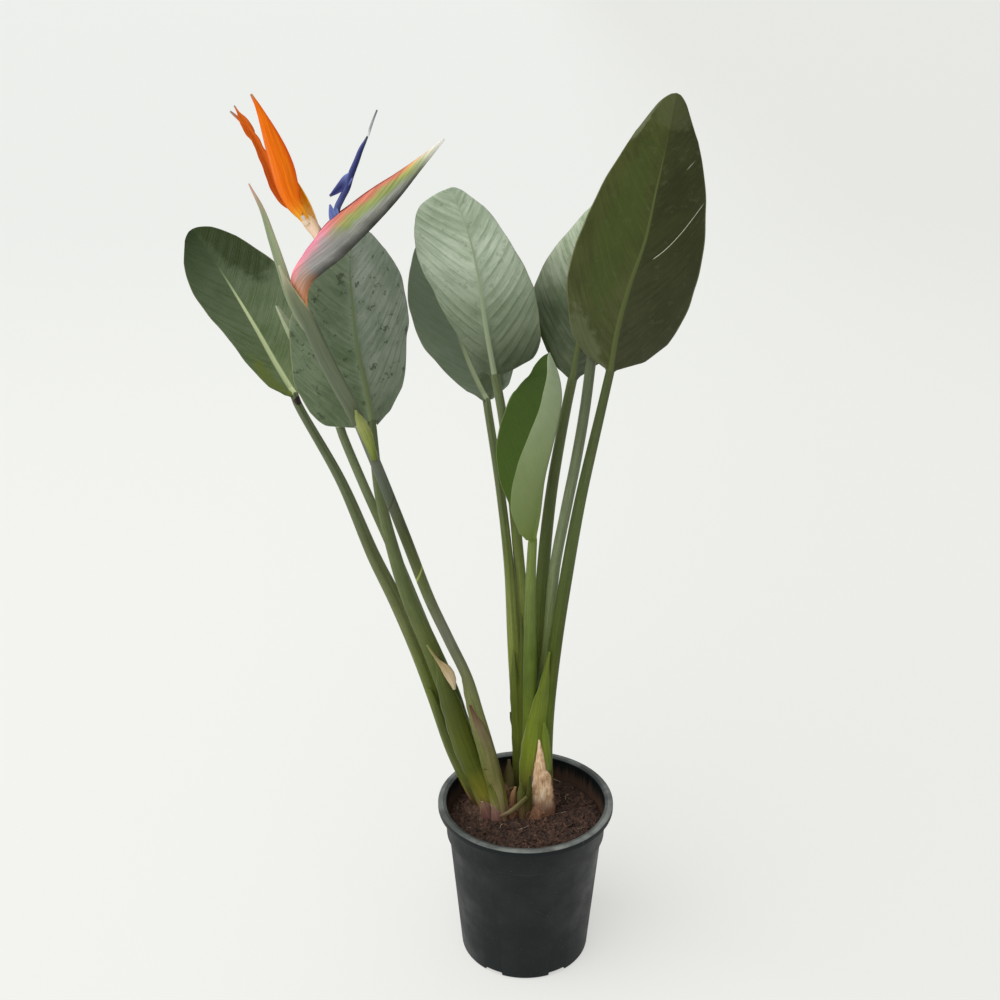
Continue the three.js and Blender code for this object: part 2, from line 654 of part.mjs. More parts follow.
[['flower_stalk', FLOWER_STALK, 22], ['bud_stalk', BUD_STALK, 14], ['bud_spathe', BUD_SPATHE, 10],
  ['flower_pedicel', PEDICEL, 6], ['stigma', STIGMA, 4]].forEach(([name, stalk, steps]) => {
  plant.add(subPart(name, skin(stalkRings(stalk, steps, PLAIN)), stalk.colour, 0.5));
});

[['spathe', SPATHE, 22], ['bract_long', BRACT_LONG, 14], ['bract_short', BRACT_SHORT, 14],
  ['sepal_front', SEPAL_FRONT, 12], ['sepal_side', SEPAL_SIDE, 12], ['sepal_back', SEPAL_BACK, 12],
  ['petal_nectary', PETAL_NECTARY, 8]].forEach(([name, petal, steps]) => {
  plant.add(subPart(name, skin(petalRings(petal, steps)), petal.colour, 0.5));
});

const arrow = ARROW_LOBES.reduce(
  (solid, lobe) => solid.add(toSolid(skin(petalRings(lobe, 8)))),
  toSolid(skin(petalRings(PETAL_ARROW, 16))),
);
plant.add(subPart('petal_arrow', toGeometry(arrow), PETAL_ARROW.colour, 0.5));

Object.entries(OLD_SHEATHS).forEach(([name, sheath]) => {
  plant.add(subPart(name, skin(petalRings(sheath, SHEATH_STEPS)), sheath.colour, 0.8));
});

export default plant;
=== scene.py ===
"""A potted bird of paradise (Strelitzia reginae) in a plastic nursery pot.

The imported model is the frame. Sizes in the classes are millimetres in that frame: +Z up, the origin at the
centre of the pot's underside, +X to the plant's right and +Y to its back.
"""
import logging
import math
from collections.abc import Callable, Sequence
from dataclasses import dataclass, replace
from enum import Enum
from typing import Any

import bmesh
import bpy
import numpy as np
from mathutils import Matrix, Vector, noise


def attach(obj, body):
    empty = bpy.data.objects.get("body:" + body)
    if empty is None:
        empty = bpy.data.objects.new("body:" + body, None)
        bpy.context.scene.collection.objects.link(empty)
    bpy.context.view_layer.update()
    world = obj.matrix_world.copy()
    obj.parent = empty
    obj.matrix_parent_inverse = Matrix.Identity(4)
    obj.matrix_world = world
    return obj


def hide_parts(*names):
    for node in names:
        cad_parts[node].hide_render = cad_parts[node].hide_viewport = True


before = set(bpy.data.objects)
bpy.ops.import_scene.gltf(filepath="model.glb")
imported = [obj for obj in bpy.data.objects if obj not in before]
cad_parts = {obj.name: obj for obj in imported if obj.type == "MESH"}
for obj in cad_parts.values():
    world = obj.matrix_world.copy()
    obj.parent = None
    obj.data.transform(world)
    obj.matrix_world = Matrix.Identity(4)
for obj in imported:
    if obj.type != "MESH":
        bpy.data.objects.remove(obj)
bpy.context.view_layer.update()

BODY = "root"
MM = 0.001

Point = tuple[float, float, float]
Colour = tuple[float, float, float]
Stops = tuple[tuple[float, Colour], ...]
Lump = tuple[float, float, float, float, float]
Array = np.ndarray

log = logging.getLogger("plant")


# Curves and cross-sections


def steady(values: Sequence[float] | float, where: Array, stations: Sequence[float] | None = None) -> Array:
    """Reads a smooth value between stations along a piece.

    Args:
        values: The value at each station, or one value for the whole piece.
        where: Fractions of the length at which to read it.
        stations: Fractions at which the values are given, even steps if left out.

    Returns:
        One value for each fraction in where.
    """
    if np.isscalar(values):
        return np.full(len(where), float(values))
    known = np.array(values, dtype=float)
    knots = np.linspace(0.0, 1.0, len(known)) if stations is None else np.array(stations)
    low = np.clip(np.searchsorted(knots, where, side="right") - 1, 0, len(known) - 2)
    t = np.clip((where - knots[low]) / (knots[low + 1] - knots[low]), 0.0, 1.0)
    slope_in = (known[low + 1] - known[np.maximum(low - 1, 0)]) / 2
    slope_out = (known[np.minimum(low + 2, len(known) - 1)] - known[low]) / 2
    return (
        (2 * t**3 - 3 * t**2 + 1) * known[low]
        + (t**3 - 2 * t**2 + t) * slope_in
        + (3 * t**2 - 2 * t**3) * known[low + 1]
        + (t**3 - t**2) * slope_out
    )


def bump(x: Array, centre: float, width: float) -> Array:
    """Returns a smooth bell of height 1 at centre."""
    return np.exp(-(((x - centre) / width) ** 2))


class Route:
    """A smooth centreline through points, walked by fractions of its length."""

    DENSE = 50

    def __init__(self, points: Sequence[Point]) -> None:
        """Lays the curve through the points, in millimetres."""
        knots = np.array(points, dtype=float)
        knots = np.vstack([2 * knots[0] - knots[1], knots, 2 * knots[-1] - knots[-2]])
        stretches = [self._stretch(*knots[i : i + 4]) for i in range(len(knots) - 3)]
        self._dense = np.vstack([*stretches, knots[-2:-1]])
        steps = np.linalg.norm(np.diff(self._dense, axis=0), axis=1)
        self._reach = np.concatenate([[0.0], np.cumsum(steps)])
        self.length = float(self._reach[-1])

    def _stretch(self, before: Array, start: Array, end: Array, after: Array) -> Array:
        """Returns the points of one centripetal stretch, without its end."""
        gaps = [np.linalg.norm(b - a) ** 0.5 for a, b in ((before, start), (start, end), (end, after))]
        first, middle, last = gaps
        leave = (start - before) / first - (end - before) / (first + middle) + (end - start) / middle
        arrive = (end - start) / middle - (after - start) / (middle + last) + (after - end) / last
        leave, arrive = leave * middle, arrive * middle
        t = np.linspace(0.0, 1.0, self.DENSE, endpoint=False)[:, None]
        square = -3 * start + 3 * end - 2 * leave - arrive
        cube = 2 * start - 2 * end + leave + arrive
        return start + leave * t + square * t**2 + cube * t**3

    def at(self, where: Array) -> Array:
        """Returns the points at fractions of the length."""
        reach = np.asarray(where) * self.length
        return np.stack([np.interp(reach, self._reach, self._dense[:, axis]) for axis in range(3)], axis=1)

    def heading(self, where: Array) -> Array:
        """Returns the unit directions at fractions of the length."""
        ahead = self.at(np.clip(where + 0.01, 0.0, 1.0))
        behind = self.at(np.clip(where - 0.01, 0.0, 1.0))
        step = ahead - behind
        return step / np.linalg.norm(step, axis=1)[:, None]


@dataclass
class Rows:
    """The cross-sections of a stalk, blade or petal: one entry in each array for one section."""

    centre: Array
    heading: Array
    facing: Point
    left: Array
    right: Array
    along: Array
    depth: Array | float = 0.0
    flat: Array | float = 1.0
    fold: Array | float = 0.0
    curl: Array | float = 0.0
    lobe: Array | float = 0.0
    thick: Array | float = 0.45
    rib: Array | float = 0.0
    rib_width: Array | float = 2.4
    channel: Array | float = 0.0
    crease: tuple[tuple[float, float, float], ...] = ()
    vein_slant: tuple[float, float] = (0.72, 0.006)
    vein_gap: float = 0.0
    vein_relief: float = 0.0

    def column(self, name: str) -> Array:
        """Returns a value as one number for each section, shaped to spread across it."""
        value = getattr(self, name)
        return np.broadcast_to(np.asarray(value, dtype=float), (len(self.centre),))[:, None]


def sections(route: Sequence[Point], facing: Point, where: Array, half: Array, **rest: Any) -> Rows:
    """Returns the sections of a piece with equal halves, at fractions of its route."""
    line = Route(route)
    centre, heading, along = line.at(where), line.heading(where), where * line.length
    return Rows(centre=centre, heading=heading, facing=facing, left=half, right=half, along=along, **rest)


@dataclass
class Skin:
    """Points and faces of a piece, with the growth values that its finish reads."""

    points: Array
    faces: list[tuple[int, ...]]
    growth: Array
    measure: Array

    def joined(self, other: "Skin") -> "Skin":
        """Returns this skin and another as one."""
        shift = len(self.points)
        faces = self.faces + [tuple(corner + shift for corner in face) for face in other.faces]
        stacked = (np.vstack(pair) for pair in ((self.growth, other.growth), (self.measure, other.measure)))
        return Skin(np.vstack([self.points, other.points]), faces, *stacked)


def vein_phase(along: Array, reach: Array, sign: Array, slant: tuple[float, float]) -> Array:
    """Returns how far along the midrib the side vein starts that passes a point, in millimetres.

    The veins leave the midrib at a slant and bend towards the tip. Their spacing is a little uneven, and
    the two halves of a blade don't mirror each other.
    """
    start = along - slant[0] * reach - slant[1] * reach**2
    return start + 1.5 * np.sin(0.11 * start + 1.3 * sign) + 2.6 * np.minimum(sign, 0.0)


def hoops(rows: int, sides: int) -> list[tuple[int, ...]]:
    """Returns the faces between closed rows of points, and the two that close the ends."""
    faces = []
    for row in range(0, (rows - 1) * sides, sides):
        for i in range(sides):
            j = (i + 1) % sides
            faces.append((row + i, row + j, row + sides + j, row + sides + i))
    return [*faces, tuple(range(sides - 1, -1, -1)), tuple(range((rows - 1) * sides, rows * sides))]


def skin_over(rows: Rows, columns: int) -> Skin:
    """Lofts a closed skin over cross-sections, with an upper and an under side that meet at the margins.

    Args:
        rows: The cross-sections.
        columns: How many points lie across each side, margins included.

    Returns:
        The skin, with its ends closed.
    """
    count = len(rows.centre)
    even = np.linspace(-1.0, 1.0, columns)[None, :]
    flat = rows.column("flat")
    margin = np.sign(even) * (1 - (1 - np.abs(even)) ** 1.25)
    t = (1 - flat) * np.sin(even * math.pi / 2) + flat * margin
    away = np.abs(t)
    sign = np.sign(t)
    half = np.where(t < 0, rows.left[:, None], rows.right[:, None])
    reach = away * half
    start = np.radians(rows.column("fold"))
    turn = np.maximum(np.radians(rows.column("curl")), 1e-4)
    angle = start + turn * away
    out = half * (np.sin(angle) - np.sin(start)) / turn
    rise = half * (np.cos(start) - np.cos(angle)) / turn
    lean = np.where(away < 1e-6, 0.0, angle)
    dome = rows.column("depth") * np.cos(even * math.pi / 2) * (1 - flat)
    sheet = rows.column("thick") * flat * np.sqrt(np.maximum(0.0, 1 - away**6))
    along = rows.along[:, None]
    fraction = (along - along[0]) / (along[-1] - along[0])
    phase = vein_phase(along, reach, sign, rows.vein_slant)
    if rows.vein_gap:
        turn_at = 2 * math.pi * phase / rows.vein_gap
        swell = (np.sin(turn_at) + 0.3 * np.cos(2 * turn_at)) * np.clip(reach / 14, 0, 1) * (1 - away**3)
        rise = rise + rows.vein_relief * swell * flat
    for middle, width, deep in rows.crease:
        rise = rise - deep * bump(t, middle, width) * flat
    groove = rows.column("channel") * bump(t, 0.0, 0.34)
    rib = rows.column("rib") * flat * bump(reach, 0.0, rows.column("rib_width"))
    heading = rows.heading / np.linalg.norm(rows.heading, axis=1)[:, None]
    facing = np.array(rows.facing, dtype=float)[None, :]
    up = facing - (heading @ facing[0])[:, None] * heading
    up /= np.linalg.norm(up, axis=1)[:, None]
    side = np.cross(heading, up)

    def place(offset: Array) -> Array:
        """Puts the points at an offset from the middle surface."""
        outward = sign * out - np.sin(lean) * sign * offset
        upward = rise + np.cos(lean) * offset
        back = -rows.column("lobe") * away**1.5
        return (
            rows.centre[:, None, :]
            + outward[:, :, None] * side[:, None, :]
            + upward[:, :, None] * up[:, None, :]
            + back[:, :, None] * heading[:, None, :]
        )

    top = place(dome + sheet - groove)
    under = place(-(dome + sheet + rib))[:, -2:0:-1, :]
    ring = np.concatenate([top, under], axis=1)
    wide, reached, phased = (np.concatenate([v, v[:, -2:0:-1]], axis=1) for v in (t, sign * reach, phase))
    face = np.concatenate([np.ones(columns), -np.ones(columns - 2)])
    face[[0, columns - 1]] = 0.0
    growth = np.stack([np.broadcast_to(fraction, wide.shape), wide, np.tile(face, (count, 1))], axis=2)
    measure = np.stack([np.broadcast_to(along, wide.shape), reached, phased], axis=2)
    points, growth, measure = (values.reshape(-1, 3) for values in (ring, growth, measure))
    return Skin(points, hoops(count, ring.shape[1]), growth, measure)


def shown(name: str, mesh: bpy.types.Mesh) -> bpy.types.Object:
    """Links a mesh to the scene as an object."""
    piece = bpy.data.objects.new(name, mesh)
    bpy.context.scene.collection.objects.link(piece)
    return piece


def mesh_from(name: str, points: Array | list[Point], faces: Sequence[Sequence[int]]) -> bpy.types.Object:
    """Makes a smooth-shaded object, with its normals pointing outwards.

    Args:
        name: The object's name.
        points: One row of X, Y and Z in millimetres for each point.
        faces: The indices of each face's points.

    Returns:
        The object.
    """
    mesh = bpy.data.meshes.new(name)
    mesh.from_pydata((np.asarray(points) * MM).tolist(), [], [list(face) for face in faces])
    work = bmesh.new()
    work.from_mesh(mesh)
    bmesh.ops.recalc_face_normals(work, faces=work.faces)
    work.to_mesh(mesh)
    work.free()
    mesh.polygons.foreach_set("use_smooth", [True] * len(mesh.polygons))
    mesh.update()
    return shown(name, mesh)


def mesh_from_skin(name: str, skin: Skin) -> bpy.types.Object:
    """Makes an object from a skin, with its growth values as attributes."""
    piece = mesh_from(name, skin.points, skin.faces)
    for title, values in (("growth", skin.growth), ("measure", skin.measure)):
        attribute = piece.data.attributes.new(title, "FLOAT_VECTOR", "POINT")
        attribute.data.foreach_set("vector", np.ascontiguousarray(values, dtype=np.float32).ravel())
    return piece


def take_result(piece: bpy.types.Object) -> None:
    """Applies a piece's modifiers: its evaluated mesh becomes its mesh."""
    seen = piece.evaluated_get(bpy.context.evaluated_depsgraph_get())
    mesh = bpy.data.meshes.new_from_object(seen)
    old = piece.data
    piece.modifiers.clear()
    piece.data = mesh
    bpy.data.meshes.remove(old)


def settle(piece: bpy.types.Object, slot: str, finish: Any, *nodes: str) -> bpy.types.Object:
    """Dresses a finished piece and ties it to the frame.

    Args:
        piece: The piece, with its place in its mesh.
        slot: The record's material slot; it is not used.
        finish: Its finish, or None if its mesh has a material.
        *nodes: The frame's nodes that it stands for.

    Returns:
        The same piece.
    """
    if finish:
        piece.data.materials.clear()
        piece.data.materials.append(finish.material(piece.name + "_finish"))
    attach(piece, BODY)
    if any(nodes):
        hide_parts(*nodes)
    log.info("%s: %d faces", piece.name, len(piece.data.polygons))
    return piece


# Node trees


def operation(name: str) -> Callable[["Wire", Any], "Wire"]:
    """Makes a method that joins a wire and a value in a Math node."""
    return lambda wire, other: wire.tree.calc(name, wire, other)


class Wire:
    """A node's output, which can be reckoned with as a number can."""

    __add__, __sub__, __mul__, __truediv__ = map(operation, ("ADD", "SUBTRACT", "MULTIPLY", "DIVIDE"))

    def __init__(self, tree: "Tree", socket: bpy.types.NodeSocket) -> None:
        """Wraps an output of a node in the tree."""
        self.tree, self.socket = tree, socket

    def __rsub__(self, other: float) -> "Wire":
        """Returns a number less the wire."""
        return self.tree.calc("SUBTRACT", other, self)

    def __abs__(self) -> "Wire":
        """Returns the wire without its sign."""
        return self.tree.calc("ABSOLUTE", self)


Wires = dict[str, Wire]


class Tree:
    """Short methods for the nodes of one tree."""

    def __init__(self, tree: bpy.types.NodeTree) -> None:
        """Starts on a node tree."""
        self.tree = tree

    def node(self, kind: str, inputs: dict[str | int, Any] | None = None, out: str | int = 0,
             **settings: Any) -> Wire:
        """Adds a node.

        Args:
            kind: The node's type name, from which ShaderNode may be left out.
            inputs: Wires or values for its inputs, by name or number.
            out: The output that is wanted, by name or number.
            **settings: Properties of the node.

        Returns:
            The output.
        """
        made = self.tree.nodes.new(kind if "Node" in kind else "ShaderNode" + kind)
        for title, value in settings.items():
            setattr(made, title, value)
        for key, value in (inputs or {}).items():
            self.feed(made.inputs[key], value)
        return Wire(self, made.outputs[out])

    def feed(self, socket: bpy.types.NodeSocket, value: Any) -> None:
        """Links a wire to an input, or sets the input's value."""
        if isinstance(value, Wire):
            self.tree.links.new(value.socket, socket)
        elif socket.type == "RGBA" and len(value) == 3:
            socket.default_value = (*value, 1.0)
        else:
            socket.default_value = value

    def calc(self, name: str, *values: Any, clamp: bool = False) -> Wire:
        """Returns the result of a Math node."""
        return self.node("Math", dict(enumerate(values)), operation=name, use_clamp=clamp)

    def vector(self, name: str, *values: Any) -> Wire:
        """Returns the result of a Vector Math node."""
        out = "Value" if name in ("LENGTH", "DISTANCE") else "Vector"
        return self.node("VectorMath", dict(enumerate(values)), out, operation=name)

    def parts(self, vector: Wire) -> tuple[Wire, ...]:
        """Returns the X, Y and Z of a vector."""
        split = self.node("SeparateXYZ", {0: vector}).socket.node
        return tuple(Wire(self, socket) for socket in split.outputs)

    def join(self, x: Any = 0.0, y: Any = 0.0, z: Any = 0.0) -> Wire:
        """Returns a vector of three values."""
        return self.node("CombineXYZ", {0: x, 1: y, 2: z})

    def span(self, value: Any, low: float, high: float, to_low: float = 0.0, to_high: float = 1.0) -> Wire:
        """Returns a value carried smoothly from one span to another, held at the ends."""
        ends = {0: value, 1: low, 2: high, 3: to_low, 4: to_high}
        return self.node("MapRange", ends, interpolation_type="SMOOTHSTEP")

    def cloud(self, vector: Any, scale: Any, detail: float = 4.0, rough: float = 0.55) -> Wire:
        """Returns the grey value of a noise pattern."""
        inputs = {"Vector": vector, "Scale": scale, "Detail": detail, "Roughness": rough}
        return self.node("TexNoise", inputs)

    def mix(self, share: Any, first: Any, second: Any, blend: str = "MIX") -> Wire:
        """Returns a mix of two colours."""
        return self.node("Mix", {0: share, 6: first, 7: second}, 2, data_type="RGBA", blend_type=blend)

    def times(self, base: Wire, colour: Any) -> Wire:
        """Returns a colour multiplied by another."""
        return self.mix(1.0, base, colour, "MULTIPLY")

    def stops(self, value: Any, *stops: tuple[float, Colour]) -> Wire:
        """Returns a colour read from a row of colour stops."""
        made = self.node("ValToRGB", {0: value})
        elements = made.socket.node.color_ramp.elements
        while len(elements) < len(stops):
            elements.new(1.0)
        for element, (where, colour) in zip(elements, stops):
            element.position = where
            element.color = (*colour, 1.0)
        return made

    def ramp(self, value: Any, colours: Sequence[Colour]) -> Wire:
        """Returns a colour read from evenly spaced colours."""
        return self.stops(value, *((i / (len(colours) - 1), colour) for i, colour in enumerate(colours)))

    def use(self, group: bpy.types.NodeTree, *values: Any) -> Wires:
        """Places a node group with values for its inputs, and returns its outputs by name."""
        made = self.tree.nodes.new("ShaderNodeGroup")
        made.node_tree = group
        for socket, value in zip(made.inputs, values):
            self.feed(socket, value)
        return {socket.name: Wire(self, socket) for socket in made.outputs}


def make_group(build: Callable[..., Wires], **inputs: str) -> bpy.types.NodeTree:
    """Makes a shader node group of a pattern.

    Args:
        build: Takes a tree and the group's inputs, and returns its outputs, all floats, by name.
        **inputs: The kind of each input, by name.

    Returns:
        The group.
    """
    group = bpy.data.node_groups.new(build.__name__, "ShaderNodeTree")
    for title, kind in inputs.items():
        group.interface.new_socket(title, in_out="INPUT", socket_type="NodeSocket" + kind)
    tree, given = Tree(group), group.nodes.new("NodeGroupInput")
    made = build(tree, *(Wire(tree, given.outputs[title]) for title in inputs))
    for title in made:
        group.interface.new_socket(title, in_out="OUTPUT", socket_type="NodeSocketFloat")
    result = group.nodes.new("NodeGroupOutput")
    for title, value in made.items():
        tree.feed(result.inputs[title], value)
    return group


def mottle(tree: Tree, vector: Wire, size: Wire, flecks: Wire) -> Wires:
    """Draws the uneven lightness of living tissue: broad patches, fine grain and scattered flecks."""
    blend = tree.cloud(vector, size * 6.0, 3.0, 0.5) * 0.4 + tree.cloud(vector, size, 5.0, 0.5) * 0.6
    over = tree.cloud(vector, size * 14.0, 1.0, 0.5) - (0.86 - flecks * 0.26)
    return {"Shade": tree.span(blend, 0.3, 0.7), "Fleck": tree.calc("MULTIPLY", over, 9.0, clamp=True)}


def tissue(tree: Tree, measure: Wire, place: Wire, gap: Wire) -> Wires:
    """Draws a blade's patterns along its side veins: bloom, dashes, fine lines, a painted highlight on the
    ridges and painted shade in the grooves.
    """
    _, reach, phase = tree.parts(measure)
    streaky = tree.cloud(tree.join(phase * 0.15, reach * 0.035), 1.0, 5.0, 0.65)
    broad = tree.cloud(place, 26.0, 5.0, 0.62)
    dash = tree.cloud(tree.join(phase * 0.62, reach * 0.17, 3.0), 1.0, 3.0, 0.6)
    near = tree.span(abs(reach), 1.0, 10.0)
    lines = tree.node("TexNoise", {"W": phase * 0.75, "Scale": 1.0, "Detail": 2.0}, noise_dimensions="1D")
    turns = phase / gap * (2 * math.pi)
    faint = tree.span(tree.cloud(place, 45.0, 2.0), 0.36, 0.6, 0.25, 1.0) * near
    return {
        "Bloom": tree.span(streaky * 0.5 + broad * 0.5, 0.37, 0.63),
        "Dash": tree.span(dash, 0.55, 0.7) * tree.span(tree.cloud(place, 34.0, 3.0), 0.44, 0.62),
        "Line": tree.span(lines, 0.44, 0.64) * near,
        # painted highlight along the vein ridges and painted shade in the grooves beside them
        "RidgeHighlight": tree.span(tree.calc("SINE", turns), -0.86, -0.99) * faint,
        "GrooveShade": tree.span(tree.calc("SINE", turns + 0.9), -0.35, -1.0) * faint,
    }


def patch(tree: Tree, growth: Wire, place: Wire, middle: Wire, scale: Wire, ragged: Wire) -> Wires:
    """Draws a ragged oval on a blade, placed by its growth: share of the length and of the width."""
    away = tree.vector("LENGTH", tree.vector("MULTIPLY", tree.vector("SUBTRACT", growth, middle), scale))
    rough = tree.cloud(place, 90.0, 4.0, 0.65) - 0.5
    return {"Mask": tree.span(rough * ragged + away, 1.05, 0.6)}


def streaks(tree: Tree, measure: Wire, fine: Wire) -> Wires:
    """Draws fibres that run along a stalk, bract or dry sheath."""
    along, reach, _ = tree.parts(measure)
    across = reach * fine
    streak = tree.cloud(tree.join(across, along * 0.02), 1.0, 4.0, 0.6)
    broad = tree.cloud(tree.join(across * 0.3, along * 0.012, 4.0), 1.0, 2.0)
    return {"Streak": tree.span(streak, 0.32, 0.68), "Broad": tree.span(broad, 0.35, 0.65)}


def stain_and_shade_spot(tree: Tree, vector: Wire, centre: Wire, radius: Wire, ragged: Wire) -> Wires:
    """Draws one ragged spot round a point, for a stain or for painted shade."""
    rough = tree.cloud(vector, 220.0, 4.0, 0.65) - 0.5
    return {"Mask": tree.span(rough * ragged + tree.vector("DISTANCE", vector, centre) / radius, 1.0, 0.65)}


MOTTLE = make_group(mottle, Vector="Vector", Size="Float", Flecks="Float")
TISSUE = make_group(tissue, Measure="Vector", Place="Vector", Gap="Float")
PATCH = make_group(patch, Growth="Vector", Place="Vector", Middle="Vector", Scale="Vector", Ragged="Float")
STREAKS = make_group(streaks, Measure="Vector", Fine="Float")
STAIN_AND_SHADE = make_group(stain_and_shade_spot, Vector="Vector", Centre="Vector", Radius="Float", Ragged="Float")


@dataclass(frozen=True)
class Spot:
    """A stain, scar, dry patch or spot of painted shade round a point of the plant."""

    centre: Point
    radius: float
    colour: Colour
    ragged: float = 0.9


class Coat(Tree):
    """The node tree of one material, with the values that most patterns read."""

    def __init__(self, name: str) -> None:
        """Starts the material."""
        self.material = bpy.data.materials.new(name)
        self.material.use_nodes = True
        super().__init__(self.material.node_tree)
        self.place = self.node("TexCoord", out="Object")

    def grown(self) -> tuple[Wire, ...]:
        """Returns the share of the length, of the width and of the upper side, and the measures in mm."""
        growth, measure = (
            self.node("Attribute", out="Vector", attribute_name=name) for name in ("growth", "measure")
        )
        return (*self.parts(growth), measure)

    def spotted(self, base: Wire, spots: Sequence[Spot]) -> Wire:
        """Lays spots over a base colour."""
        for spot in spots:
            centre = tuple(value * MM for value in spot.centre)
            mask = self.use(STAIN_AND_SHADE, self.place, centre, spot.radius * MM, spot.ragged)["Mask"]
            base = self.mix(mask, base, spot.colour)
        return base

    def stalk(self, where: Wire, colours: Sequence[Colour], fibre: Wires, uneven: Wires) -> Wire:
        """Returns a stalk's colour from foot to neck, with fibres, pale patches and flecks."""
        base = self.ramp(where, colours)
        dark = self.times(base, (0.5, 0.56, 0.45))
        base = self.mix(fibre["Streak"] * 0.55, base, dark)
        base = self.mix(fibre["Broad"] * 0.35, base, dark)
        base = self.mix(uneven["Shade"] * 0.5, base, self.times(base, (1.4, 1.36, 1.5)))
        return self.mix(uneven["Fleck"] * 0.7, base, (0.025, 0.025, 0.015))

    def stained_foot(self, base: Wire) -> Wire:
        """Turns a stalk's colour yellow, then tan and red-brown where it leaves the rootstock."""
        height = (self.cloud(self.place, 70.0, 4.0, 0.7) - 0.5) * 0.035 + self.parts(self.place)[2]
        for high, low, colour in ((0.232, 0.2, (0.24, 0.22, 0.05)), (0.204, 0.188, (0.3, 0.18, 0.1)),
                                  (0.193, 0.182, (0.12, 0.05, 0.035))):
            base = self.mix(self.span(height, high, low), base, colour)
        return base

    def done(self, base: Any, rough: Any, height: Wire, depth: float,
             shine: float = 0.5) -> bpy.types.Material:
        """Feeds the shader and returns the material.

        Args:
            base: The base colour.
            rough: The roughness.
            height: The pattern of the relief.
            depth: The depth of the relief in millimetres.
            shine: The specular level.

        Returns:
            The finished material.
        """
        normal = self.node("Bump", {"Height": height, "Strength": 1.0, "Distance": depth * MM}, "Normal")
        self.shade({"Base Color": base, "Roughness": rough, "Specular IOR Level": shine, "Normal": normal})
        return self.material

    def shade(self, inputs: dict[str, Any]) -> None:
        """Feeds inputs of the surface shader, by name."""
        for title, value in inputs.items():
            self.feed(self.tree.nodes["Principled BSDF"].inputs[title], value)


# Finishes


@dataclass(frozen=True)
class Patch:
    """A ragged oval on a blade: its middle and half size as shares of length and width, and its colour.

    The width runs from -1 at the left margin to 1 at the right one, seen on the upper side.
    """

    middle: tuple[float, float]
    size: tuple[float, float]
    colour: Colour
    share: float = 0.8
    ragged: float = 1.0


@dataclass(frozen=True)
class Slit:
    """A pale split between two veins of the left half: its vein's start, its ends and its width, in mm."""

    phase: float
    start: float
    end: float
    width: float = 0.7
    colour: Colour = (0.62, 0.64, 0.5)


